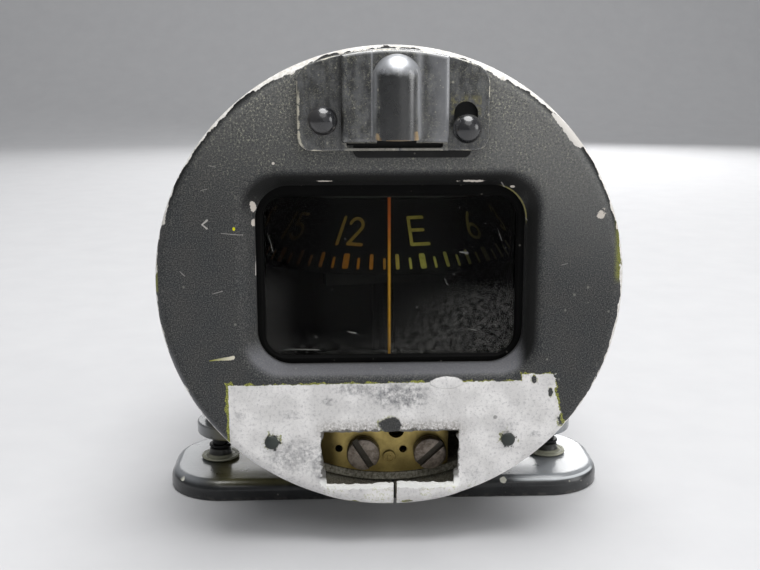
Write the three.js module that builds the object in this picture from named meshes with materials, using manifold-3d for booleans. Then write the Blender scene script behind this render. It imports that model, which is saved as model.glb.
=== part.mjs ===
// Aircraft magnetic compass: a liquid-filled bowl compass for a panel or a deck,
// with a lamp hood, a compensator and a foot plate on rubber mounts.
// Millimetres, +Z up. The front faces -Y. The origin is the centre of the foot plate's underside.
// Pieces are drawn in the face frame: x right, y back from the front face, z up from its centre.

import * as THREE from 'three';
import { mergeVertices } from 'three/addons/utils/BufferGeometryUtils.js';
import Module from 'manifold-3d';

const wasm = await Module();
wasm.setup();

// Clearances
const seatGap = 0.3; // between two pieces that seat on each other
const cutOverrun = 1; // how far a cutter runs past the faces that it cuts

// Angles
const quarterTurn = 90;

// Facets round a circle, by the size of what is turned
const facetsRim = 64;
const facetsBody = 48;
const facetsInner = 28;
const facetsRound = 24;
const facetsSmall = 16;
const facetsPin = 10;
const facetsTiny = 8;

// Front cover
const coverRadius = 43;
const coverSheet = 1.2;
const coverDepth = 11.5;
const coverEdgeRound = 2.3;
const windowSideMargin = 18.2; // from the window to the cover's edge
const windowTopMargin = 24.9; // from the window to the cover's highest point
const windowBottomMargin = 27.4; // from the window to the cover's lowest point
const windowCorner = 4.5;
const bevelSide = 3.6;
const bevelTop = 3.9;
const bevelBottom = 2.4;
const bevelCorner = 7;
const bevelDepth = 3;
const bevelPower = 1.7; // the bevel starts level with the face and steepens inwards
const accessHalfWidth = 13;
const accessHeight = 10.5;
const accessRim = 4.6; // from the opening to the cover's lowest point
const accessCorner = 1.5;
const slitWidth = 0.7;
const slitX = 0.7;
const coverRivetLeftX = -22.4;
const coverRivetRightX = 22;
const coverRivetRise = 13.3; // above the cover's lowest point
const coverRivetHeadRadius = 1.3;
const coverRivetHeadHeight = 0.45;
const coverRivetCrownRadius = 0.9; // the flat of the head
const coverRivetCrownDrop = 0.1;
const coverRivetRadius = 0.8;

// Cast case
const flangeGap = 0.5; // between the flange and the skirt of the cover
const flangeFront = 9.3;
const flangeThickness = 3;
const barrelRise = 2; // the barrel's axis above the face centre
const barrelFlare = 1.8; // from the barrel out to the back of the flange
const barrelRearRound = 4;
const barrelWall = 3;
const rearWall = 4;
const rearOpeningRadius = 12;
const viewInsetSide = 1.3; // inside the cover's window
const viewInsetTop = 1.55;
const viewCentreZ = -0.1;
const viewCorner = 4;
const bossClearance = 0.3; // between a boss on the case and the cover sheet
const studBossRadius = 3.5;
const rivetBossRadius = 3;
const postBossRadius = 6.5;
const postBossHeight = 1.6;
const padHalfWidth = 16;
const padHeight = 1.5; // below the barrel
const padMargin = 1; // the pad runs past the mounting plate by this
const padCorner = 2;

// Window
const frameLapSide = 5.2; // past the cover's window
const frameLapTop = 4.65;
const frameCorner = 2.5;
const frameCentreZ = 0.8;
const frameLip = 0.8;
const frameViewInsetSide = 1.4; // inside the cover's window
const frameViewInsetTop = 1.8;
const glassRebateSide = 3.3; // from the frame's edge to the glass
const glassRebateTop = 2.8;
const glassThickness = 2.3;
const glassCorner = 5;
const gasketThickness = 0.8;
const frameScrewInset = 2.4;
const frameScrewHeadRadius = 1.6;
const frameScrewHeadHeight = 1.2;
const frameScrewRadius = 0.8;
const frameScrewGrip = 1.9; // length held in the case
const frameScrewSlotWidth = 0.4;
const frameScrewSlotDepth = 0.6;
const lubberRadius = 0.28;
const lubberDepth = 1.2; // the wire's centre behind the case's front face
const lubberReach = 1.2; // length held in each notch

// Card and floats
const pivotZ = 4.85; // the needle's tip above the face centre
const bandClearance = 3.7; // round the band's lower edge, in the chamber
const bandEndRoom = 1.8; // before and behind the band
const bandLean = 9.4; // how far the band's upper edge leans in
const bandSheet = 0.6;
const bandTop = 12.6;
const bandBottom = -0.8;
const webBottom = 0.2;
const webSheet = 0.7;
const webInnerRadius = 9;
const webHoleRadius = 3.6;
const webHoleEdge = 3.2; // from a hole to the web's edge
const webHoleCount = 6;
const floatRadius = 13;
const floatTop = 15;
const floatSeam = 8;
const floatSheet = 0.6;
const floatRound = 2;
const wellMouthRadius = 6.8;
const wellNeckRadius = 3.4;
const hubRadius = 1.9;
const hubBottom = 10;
const hubFlangeRadius = 3.2;
const hubFlangeHeight = 0.8;
const needleRadius = 0.6;
const needleTipRadius = 0.08;
const needleTaper = 2.2;
const carrierOuterRadius = 11;
const carrierWidth = 3.8;
const carrierHeight = 3.2;
const cardMagnetSide = 3;
const cardMagnetLength = 30;
const cardMagnetOffset = 8.5;
const cardHeading = 102.4; // degrees under the line, so the magnets lie at this heading

// Jewel post
const postRadius = 2.4;
const postFootRadius = 5;
const postFootHeight = 2.5;
const postBore = 1.75;
const cupRadius = 1.45;
const cupHeight = 2.8;
const cupProud = 0.35;
const cupBore = 1.1;
const cupBoreDepth = 1.5;
const jewelRadius = 0.8;
const jewelHeight = 1.1;
const jewelDishRadius = 0.5;
const jewelDishDepth = 0.35;
const springWire = 0.35;
const springTurns = 4;
const springLength = 4.1;

// Compensator
const bayHalfWidth = 17;
const bayWall = 1.6;
const bayHeadroom = 10.9; // above the adjusting shafts
const bayBackWall = 2.5;
const bayBlockHalfWidth = 19.5;
const bayRoof = 3;
const compPlateFront = 8.9;
const compPlateThickness = 2;
const compPlateLeft = -14.5;
const compPlateRight = 11.5;
const compRearThickness = 1.8;
const nsX = -5.2;
const ewX = 7.8;
const shaftRise = 8.1; // above the cover's lowest point
const gearPitchRadius = 3.1;
const gearTeeth = 16;
const gearAddendum = 0.25;
const gearDedendum = 0.5;
const gearWidth = 2.6;
const toothRootShare = 0.5;
const toothTipShare = 0.22;
const toothMesh = 0.25; // the turn of each gear, in teeth, that lets a pair mesh
const slotHeadRadius = 3.2;
const slotHeadHeight = 2.3;
const slotHeadChamfer = 0.3;
const slotWidth = 1.3;
const slotDepth = 1;
const nsSlotAngle = -54;
const ewSlotAngle = 47;
const journalRadius = 1.5;
const shaftRadius = 0.8;
const compMagnetLength = 6.4;
const compMagnetWidth = 3.2;
const compMagnetThickness = 2.4;
const compMagnetSpace = 0.6;
const magnetEndGap = 1; // behind the last magnet
const pillarRadius = 1.3;
const spigotRadius = 0.9;
const pillarHeadRadius = 1.25;
const pillarHeadHeight = 0.3;
const lowerPillarX = -0.1;
const lowerPillarFall = 1.25; // below the adjusting shafts
const upperPillarX = 1.3;
const upperPillarRise = 8.5; // above the adjusting shafts
const sightHoleRadius = 1.6;
const sightHoleX = 1.3;
const sightHoleRise = 4.1; // above the adjusting shafts
const pinHoleRadius = 0.75;
const leftPinHoleX = -9.95;
const leftPinHoleRise = 0.5;
const rightPinHoleX = 2.65;
const rightPinHoleRise = 0.2;

// Lamp
const lampPlateSheet = 0.6;
const lampPlateLeft = -6.8;
const lampPlateRight = 14.1;
const lampPlateProud = 1.3; // below the hood's lower edge
const lampPlateCorner = 1.2;
const hoodSheet = 0.9;
const hoodLeft = -16.6;
const hoodRight = 17.2;
const hoodDrop = 18.3; // from the cover's top to the hood's lower edge
const hoodTopInset = 0.7; // the hood's top edge inside the cover's rim
const hoodCorner = 2.5;
const channelLeft = -8.9;
const channelRight = 9.9;
const channelLift = 1.5; // above the hood's lower edge
const channelHeight = 2.5; // how far the channel stands over the flange
const channelCorner = 1.2;
const domeX = 0.75;
const domeRadius = 4.3;
const domeFront = 8.4; // in front of the face
const domeHeight = 14.6;
const domeLift = 2.2; // above the hood's lower edge
const domeWall = 0.85;
const studLeftX = -12.1;
const studLeftLift = 5.4; // above the hood's lower edge
const studRightX = 13;
const studRightLift = 4;
const studRadius = 1.2;
const studBallRadius = 2.6;
const studBallProud = 4.4; // the ball's centre in front of the face
const studHole = 1.5;
const swingSlotRadius = 2.1;
const swingSlotBelow = 0.5; // the slot's lower centre below the stud
const swingSlotAbove = 2.5; // the slot's upper centre above the stud
const lampPortHalfWidth = 3.4;
const lampPortLift = 3.3; // above the hood's lower edge
const lampPortHeight = 9;
const lampPortCorner = 1.7;
const bulbRadius = 2.1;
const bulbLift = 1.7; // above the dome's open end
const bulbLength = 4.8;
const bulbCapRadius = 1.5;
const bulbCapHeight = 3.2;
const socketRadius = 3.1;
const socketHeight = 3.7;
const socketWallGap = 0.3;

// Rear
const diaphragmInset = 1.5; // inside the rear cover's edge
const diaphragmSheet = 0.5;
const diaphragmWave = 0.7;
const diaphragmWaves = 2;
const diaphragmHubRadius = 5;
const rearGasketLap = 8; // its width, in from the rear cover's edge
const rearCoverInset = 9; // inside the barrel's edge
const rearCoverSheet = 1.5;
const rearDomeInset = 8.5; // inside the rear cover's edge
const rearDomeHeight = 3.4;
const rearDomeRound = 2;
const ventRadius = 1;
const rearScrewInset = 4; // inside the rear cover's edge
const rearScrewRadius = 1.1;
const rearScrewHeadRadius = 2.2;
const rearScrewHeadHeight = 1.5;
const rearScrewGrip = 2.2;
const rearScrewCrownRadius = 1.3; // the flat of the head
const rearScrewCrownDrop = 0.2;
const rearScrewEdgeHeight = 0.75;
const rearScrewSlotWidth = 0.55;
const rearScrewSlotDepth = 0.75;
const fillerInset = 15.5; // in front of the case's rear face
const fillerBossRadius = 6;
const fillerBossHeight = 0.4; // above the barrel
const fillerPlugRadius = 2;
const fillerHeadRadius = 4.2;
const fillerHeadHeight = 1.1;
const fillerHeadChamfer = 0.28;
const fillerWasherRadius = 4.8;
const fillerWasherHeight = 0.5;
const fillerGrip = 3;
const fillerSlotWidth = 1;
const fillerSlotDepth = 0.6;

// Foot and rubber mounts
const plateClearance = 3.6; // between the compensator's bay and the mounting plate
const plateEnd = 4.8; // the plate runs past its mount screws by this
const plateHalfWidth = 8;
const plateThickness = 2.7;
const plateScrewX = 9;
const plateScrewRadius = 1.4;
const plateScrewHeadRadius = 2.8;
const plateScrewHeadHeight = 1.4;
const plateScrewGrip = 2.6;
const plateScrewCrownRadius = 1.7; // the flat of the head
const plateScrewCrownDrop = 0.2;
const plateScrewEdgeHeight = 0.7;
const plateScrewSlotWidth = 0.7;
const plateScrewSlotDepth = 0.7;
const plateInset = 0.1; // from the case flange's side to the plate's end
const rimClearance = 3.3; // between the cover's lowest point and the base
const mountScrewRadius = 1.7;
const mountNutRadius = 3.2;
const mountNutHeight = 2.1;
const mountCollarRadius = 2.4;
const mountCollarHeight = 0.6;
const grommetTopRadius = 2.6;
const grommetConeHeight = 1.2;
const grommetFlangeRadius = 4;
const grommetFlangeHeight = 0.9;
const grommetNeckRadius = 2.9;
const grommetFootRadius = 4.2;
const grommetFootHeight = 0.7;
const mountHeadRadius = 3.2;
const mountHeadHeight = 0.7;
const baseEnd = 10.2; // the base runs past its mounts by this
const baseHalfWidth = 15.3;
const baseThickness = 4.2;
const baseCorner = 12;
const baseEdgeRound = 1.5;
const basePocketRadius = 5.5;
const basePocketDepth = 2.2;
const deckHoleInset = 14.4; // from a mount to a deck hole
const deckHoleRadius = 2.1;
const deckSinkRadius = 3.9;

// Places worked out from the sizes above
const down = (drop) => -drop;
const flangeRadius = coverRadius - coverSheet - flangeGap;
const flangeBack = flangeFront + flangeThickness;
const barrelRadius = flangeRadius - barrelRise - barrelFlare;
const chamberRadius = barrelRadius - barrelWall;
const chamberFloor = barrelRise - chamberRadius;
const bandRadius = chamberRadius - bandClearance; // at the lower edge
const bandTopRadius = bandRadius - bandLean;
const cardY = flangeBack + bandEndRoom + bandRadius; // the card's axis behind the front face
const chamberBack = cardY + bandRadius + bandEndRoom;
const caseDepth = chamberBack + rearWall; // from the front face to the case's rear face
const padDrop = barrelRadius - barrelRise + padHeight; // below the face centre
const windowHalfWidth = coverRadius - windowSideMargin;
const windowHalfHeight = coverRadius - (windowTopMargin + windowBottomMargin) / 2;
const windowCentreZ = (windowBottomMargin - windowTopMargin) / 2;
const viewHalfWidth = windowHalfWidth - viewInsetSide;
const viewHalfHeight = windowHalfHeight - viewInsetTop;
const frameHalfWidth = windowHalfWidth + frameLapSide;
const frameHalfHeight = windowHalfHeight + frameLapTop;
const frameViewHalfWidth = windowHalfWidth - frameViewInsetSide;
const frameViewHalfHeight = windowHalfHeight - frameViewInsetTop;
const glassHalfWidth = frameHalfWidth - glassRebateSide;
const glassHalfHeight = frameHalfHeight - glassRebateTop;
const accessBottom = coverRadius - accessRim; // below the face centre
const accessTop = accessBottom - accessHeight; // below the face centre
const coverRivetDrop = coverRadius - coverRivetRise;
const bossFront = coverSheet + bossClearance;
const frameFront = bevelDepth + coverSheet + seatGap;
const frameBack = flangeFront - seatGap;
const glassFront = frameFront + frameLip + seatGap;
const glassBack = glassFront + glassThickness;
const webTop = webBottom + webSheet;
const floatBottom = webTop + seatGap;
const hubTop = floatTop + seatGap;
const carrierTop = webBottom - seatGap;
const carrierBottom = carrierTop - carrierHeight;
const magnetTop = carrierBottom - seatGap;
const postBossTop = chamberFloor + postBossHeight;
const postFoot = postBossTop + seatGap;
const jewelTop = pivotZ - seatGap;
const cupTop = jewelTop;
const postTop = cupTop - cupProud;
const cupBottom = cupTop - cupHeight;
const springTop = cupBottom - seatGap;
const springBottom = springTop - springLength;
const boreBottom = springBottom - seatGap;
const shaftDrop = coverRadius - shaftRise; // the adjusting shafts below the face centre
const bayTop = shaftDrop - bayHeadroom; // below the face centre
const lowerPillarDrop = shaftDrop + lowerPillarFall;
const upperPillarDrop = shaftDrop - upperPillarRise;
const sightHoleDrop = shaftDrop - sightHoleRise;
const leftPinHoleDrop = shaftDrop - leftPinHoleRise;
const rightPinHoleDrop = shaftDrop - rightPinHoleRise;
const compPlateBack = compPlateFront + compPlateThickness;
const compPlateRadius = flangeRadius - bayWall - seatGap;
const gearFront = compPlateBack + seatGap;
const gearBack = gearFront + gearWidth;
const counterDrop = shaftDrop - 2 * gearPitchRadius;
const compMagnetFront = gearBack + compMagnetSpace;
const counterMagnetFront = compMagnetFront + compMagnetThickness + compMagnetSpace;
const compRearFront = counterMagnetFront + compMagnetThickness + magnetEndGap;
const compRearBack = compRearFront + compRearThickness;
const bayDepth = compRearBack + seatGap;
const hoodBottom = coverRadius - hoodDrop;
const channelBottom = hoodBottom + channelLift;
const lampPlateBottom = hoodBottom - lampPlateProud;
const domeBottom = hoodBottom + domeLift;
const domeTop = domeBottom + domeHeight;
const studLeftZ = hoodBottom + studLeftLift;
const studRightZ = hoodBottom + studRightLift;
const lampPortBottom = hoodBottom + lampPortLift;
const lampPortTop = lampPortBottom + lampPortHeight;
const bulbBottom = domeBottom + bulbLift;
const bulbNeck = bulbBottom + bulbLength;
const lampPlateBack = -seatGap;
const lampPlateFront = lampPlateBack - lampPlateSheet;
const hoodBack = lampPlateFront - seatGap;
const hoodFront = hoodBack - hoodSheet;
const channelFront = hoodFront - channelHeight;
const domeY = domeRadius - domeFront;
const rearCoverRadius = barrelRadius - rearCoverInset;
const rearDomeRadius = rearCoverRadius - rearDomeInset;
const rearGasketInner = rearCoverRadius - rearGasketLap;
const diaphragmRadius = rearCoverRadius - diaphragmInset;
const rearScrewCircle = rearCoverRadius - rearScrewInset;
const rearGasketFront = caseDepth + seatGap;
const rearGasketBack = rearGasketFront + gasketThickness;
const diaphragmFront = rearGasketBack + seatGap;
const diaphragmBack = diaphragmFront + diaphragmSheet;
const rearCoverFront = diaphragmBack + seatGap;
const rearCoverBack = rearCoverFront + rearCoverSheet;
const fillerY = caseDepth - fillerInset;
const fillerBossTop = barrelRise + barrelRadius + fillerBossHeight;
const footY = bayDepth + bayBackWall + plateClearance + plateHalfWidth; // behind the front face
const plateHalfLength = flangeRadius - plateInset;
const mountX = plateHalfLength - plateEnd;
const baseHalfLength = mountX + baseEnd;
const deckHoleX = mountX - deckHoleInset;
const plateTop = down(padDrop) - seatGap;
const plateBottom = plateTop - plateThickness;
const baseTop = -coverRadius - rimClearance;
const grommetTop = baseTop + seatGap + grommetFlangeHeight + grommetConeHeight;
const baseBottom = baseTop - baseThickness;
const pocketTop = baseBottom + basePocketDepth;
const faceHeight = -baseBottom;

// The outer radius of the card's leaning band at a height
const bandRadiusAt = (z) =>
  bandRadius - ((bandRadius - bandTopRadius) * (z - bandBottom)) / (bandTop - bandBottom);
const webRadius = bandRadiusAt(webTop) - bandSheet - seatGap;
const webHoleCircle = webRadius - webHoleEdge - webHoleRadius;

// Profiles and outlines
const point = (x, y) => new THREE.Vector2(x, y);

function arcPoints(centreX, centreY, radius, startDegrees, endDegrees, steps) {
  const points = [];
  for (let i = 0; i <= steps; i += 1) {
    const angle = THREE.MathUtils.degToRad(startDegrees + ((endDegrees - startDegrees) * i) / steps);
    points.push(point(centreX + radius * Math.cos(angle), centreY + radius * Math.sin(angle)));
  }
  return points;
}

function roundedPoints(left, right, bottom, top, corner, steps = 3) {
  return [
    ...arcPoints(right - corner, top - corner, corner, 0, 90, steps),
    ...arcPoints(left + corner, top - corner, corner, 90, 180, steps),
    ...arcPoints(left + corner, bottom + corner, corner, 180, 270, steps),
    ...arcPoints(right - corner, bottom + corner, corner, 270, 360, steps),
  ];
}

const rounded = (...sizes) => new THREE.Shape(roundedPoints(...sizes));
const centredRect = (halfWidth, halfHeight, centre, corner, steps) =>
  rounded(-halfWidth, halfWidth, centre - halfHeight, centre + halfHeight, corner, steps);

// Solids
function signedVolume(geometry) {
  const place = geometry.getAttribute('position');
  const index = geometry.getIndex().array;
  const [a, b, c] = [new THREE.Vector3(), new THREE.Vector3(), new THREE.Vector3()];
  let sum = 0;
  for (let i = 0; i < index.length; i += 3) {
    a.fromBufferAttribute(place, index[i]);
    b.fromBufferAttribute(place, index[i + 1]);
    c.fromBufferAttribute(place, index[i + 2]);
    sum += a.dot(b.cross(c));
  }
  return sum;
}

// A solid from a closed geometry: corners merged, thin slivers dropped, faces turned outwards
function solid(source) {
  source.deleteAttribute('normal');
  source.deleteAttribute('uv');
  const geometry = mergeVertices(source);
  const index = geometry.getIndex().array;
  const kept = [];
  for (let i = 0; i < index.length; i += 3) {
    const [a, b, c] = [index[i], index[i + 1], index[i + 2]];
    if (a !== b && b !== c && c !== a) kept.push(a, b, c);
  }
  geometry.setIndex(kept);
  if (signedVolume(geometry) < 0) {
    for (let i = 0; i < kept.length; i += 3) [kept[i], kept[i + 1]] = [kept[i + 1], kept[i]];
  }
  const vertProperties = new Float32Array(geometry.getAttribute('position').array);
  const triVerts = new Uint32Array(kept);
  return new wasm.Manifold(new wasm.Mesh({ numProp: 3, vertProperties, triVerts }));
}

const join = (first, ...rest) => rest.reduce((sum, next) => sum.add(next), first);
const cut = (first, ...rest) => rest.reduce((left, next) => left.subtract(next), first);

const axisX = new THREE.Vector3(1, 0, 0);
const axisY = new THREE.Vector3(0, 1, 0);
const axisZ = new THREE.Vector3(0, 0, 1);

// A profile of [radius, y] points turned about the y direction, through (x, z)
function turnedY(profile, x, z, segments) {
  const points = profile.map(([radius, y]) => point(radius, y));
  return solid(new THREE.LatheGeometry(points, segments).translate(x, 0, z));
}

// A profile of [radius, z] points turned about the z direction, through (x, y)
function turnedZ(profile, x, y, segments) {
  const points = profile.map(([radius, z]) => point(radius, z));
  const upright = new THREE.Matrix4().makeBasis(axisX, axisZ, axisY.clone().negate());
  return solid(new THREE.LatheGeometry(points, segments).applyMatrix4(upright).translate(x, y, 0));
}

const rodY = (radius, front, back, x, z, segments) =>
  turnedY([[0, front], [radius, front], [radius, back], [0, back]], x, z, segments);
const rodZ = (radius, bottom, top, x, y, segments) =>
  turnedZ([[0, bottom], [radius, bottom], [radius, top], [0, top]], x, y, segments);
const ringY = (inner, outer, front, back, x, z, segments) =>
  turnedY([[inner, front], [outer, front], [outer, back], [inner, back], [inner, front]], x, z, segments);

// An outline in x and z, carried back from one depth to another
function slabY(shape, front, back) {
  const geometry = new THREE.ExtrudeGeometry(shape, { depth: back - front, bevelEnabled: false });
  const turned = new THREE.Matrix4().makeBasis(axisX, axisZ, axisY.clone().negate());
  return solid(geometry.applyMatrix4(turned).translate(0, back, 0));
}

// An outline in x and y, carried up from one height to another
function slabZ(shape, bottom, top) {
  const geometry = new THREE.ExtrudeGeometry(shape, { depth: top - bottom, bevelEnabled: false });
  return solid(geometry.translate(0, 0, bottom));
}

function block(left, right, front, back, bottom, top) {
  const geometry = new THREE.BoxGeometry(right - left, back - front, top - bottom);
  return solid(geometry.translate((left + right) / 2, (front + back) / 2, (bottom + top) / 2));
}

// A solid through several outlines of equal count: sections are { y, points } or { z, points }
function lofted(sections) {
  const count = sections[0].points.length;
  const place = [];
  for (const { y, z, points } of sections) {
    for (const p of points) place.push(p.x, y ?? p.y, z ?? p.y);
  }
  const index = [];
  for (let s = 0; s + 1 < sections.length; s += 1) {
    for (let i = 0; i < count; i += 1) {
      const [a, b] = [s * count + i, s * count + ((i + 1) % count)];
      index.push(a, b, b + count, a, b + count, a + count);
    }
  }
  const last = (sections.length - 1) * count;
  for (const [a, b, c] of THREE.ShapeUtils.triangulateShape(sections[0].points, [])) index.push(c, b, a);
  for (const [a, b, c] of THREE.ShapeUtils.triangulateShape(sections.at(-1).points, [])) {
    index.push(last + a, last + b, last + c);
  }
  const geometry = new THREE.BufferGeometry();
  geometry.setAttribute('position', new THREE.Float32BufferAttribute(place, 3));
  geometry.setIndex(index);
  return solid(geometry);
}

const movedSolid = (piece, x, y, z) => piece.translate([x, y, z]);
const turnedAboutY = (piece, degrees, x, z) =>
  piece.translate([-x, 0, -z]).rotate([0, degrees, 0]).translate([x, 0, z]);

// Materials
const finish = (color, roughness, metalness) =>
  new THREE.MeshStandardMaterial({ color, roughness, metalness });
const darkPaint = finish(0x3b3d3f, 0.72, 0.1);
const hoodPaint = finish(0x17181a, 0.35, 0.1);
const castMetal = finish(0x8f9294, 0.5, 0.8);
const brass = finish(0x8c7440, 0.4, 0.9);
const bright = finish(0xb9bcbf, 0.35, 0.9);
const steel = finish(0x6f7173, 0.4, 0.9);
const rubber = finish(0x18181a, 0.85, 0);
const footPaint = finish(0x101112, 0.25, 0.1);
const cardPaint = finish(0x14140f, 0.8, 0);
const lightSheet = finish(0xa8aaa6, 0.5, 0.7);
const jewel = finish(0x8a1f2c, 0.1, 0);
const clearGlass = new THREE.MeshStandardMaterial({
  color: 0xdfe6e2,
  roughness: 0.05,
  metalness: 0,
  transparent: true,
  opacity: 0.3,
});
const linePaint = finish(0xd9721e, 0.5, 0);

const assembly = new THREE.Group();
assembly.position.set(0, -footY, faceHeight);

function addPiece(name, piece, material) {
  const { numProp, vertProperties, triVerts } = piece.getMesh();
  const geometry = new THREE.BufferGeometry();
  geometry.setAttribute('position', new THREE.BufferAttribute(new Float32Array(vertProperties), numProp));
  geometry.setIndex(new THREE.BufferAttribute(new Uint32Array(triVerts), 1));
  geometry.computeVertexNormals();
  const mesh = new THREE.Mesh(geometry, material);
  mesh.name = name;
  assembly.add(mesh);
}

// Front cover

// The outline of the bevel round the window: share 0 is its edge on the face, share 1 the window
function bevelOutline(share, grown) {
  const [side, top, bottom] = [bevelSide, bevelTop, bevelBottom].map((width) => width * (1 - share) + grown);
  const corner = THREE.MathUtils.lerp(bevelCorner, windowCorner, share) + grown;
  return roundedPoints(
    -windowHalfWidth - side,
    windowHalfWidth + side,
    windowCentreZ - windowHalfHeight - bottom,
    windowCentreZ + windowHalfHeight + top,
    corner,
  );
}

function bevelSections(grown, behind, steps = 4) {
  const sections = [];
  for (let i = 0; i <= steps; i += 1) {
    const share = i / steps;
    sections.push({ y: bevelDepth * share ** bevelPower + behind, points: bevelOutline(share, grown) });
  }
  return sections;
}

function makeFrontCover() {
  const inner = coverEdgeRound - coverSheet;
  const edgeX = coverRadius - coverEdgeRound;
  const shell = turnedY(
    [
      [0, 0],
      ...arcPoints(edgeX, coverEdgeRound, coverEdgeRound, -90, 0, 4).map((p) => [p.x, p.y]),
      [coverRadius, coverDepth],
      [coverRadius - coverSheet, coverDepth],
      ...arcPoints(edgeX, coverEdgeRound, inner, 0, -90, 2).map((p) => [p.x, p.y]),
      [0, coverSheet],
    ],
    0,
    0,
    facetsRim,
  );
  const funnelBack = lofted([
    { y: coverSheet / 2, points: bevelOutline(0, coverSheet) },
    ...bevelSections(coverSheet, coverSheet),
  ]);
  const funnelFront = lofted([
    { y: -cutOverrun, points: bevelOutline(0, 0) },
    ...bevelSections(0, 0),
    { y: bevelDepth + coverSheet + cutOverrun, points: bevelOutline(1, 0) },
  ]);
  const access = slabY(
    rounded(-accessHalfWidth, accessHalfWidth, down(accessBottom), down(accessTop), accessCorner, 3),
    -cutOverrun,
    coverEdgeRound + cutOverrun,
  );
  const slit = block(
    slitX - slitWidth / 2,
    slitX + slitWidth / 2,
    -cutOverrun,
    coverDepth + cutOverrun,
    -coverRadius - cutOverrun,
    -accessBottom + accessCorner,
  );
  const holes = [
    rodY(studHole, -cutOverrun, coverEdgeRound, studLeftX, studLeftZ, facetsPin),
    rodY(studHole, -cutOverrun, coverEdgeRound, studRightX, studRightZ, facetsPin),
    ...coverRivetHoles(-cutOverrun, coverEdgeRound),
    lampPort(-cutOverrun, coverEdgeRound),
  ];
  return cut(shell.add(funnelBack), funnelFront, access, slit, ...holes);
}

// The hole that lets the lamp's light through the plate and the cover
function lampPort(front, back) {
  const [left, right] = [domeX - lampPortHalfWidth, domeX + lampPortHalfWidth];
  return slabY(rounded(left, right, lampPortBottom, lampPortTop, lampPortCorner, 3), front, back);
}

const coverRivetHoles = (front, back) =>
  [coverRivetLeftX, coverRivetRightX].map((x) =>
    rodY(coverRivetRadius + seatGap, front, back, x, down(coverRivetDrop), facetsTiny),
  );

function makeCoverRivet(x) {
  const back = flangeFront;
  const headBack = -seatGap;
  const headFront = headBack - coverRivetHeadHeight;
  return turnedY(
    [
      [0, headFront],
      [coverRivetCrownRadius, headFront + coverRivetCrownDrop],
      [coverRivetHeadRadius, headBack],
      [coverRivetRadius, headBack],
      [coverRivetRadius, back],
      [0, back],
    ],
    x,
    down(coverRivetDrop),
    facetsTiny,
  );
}

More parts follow.
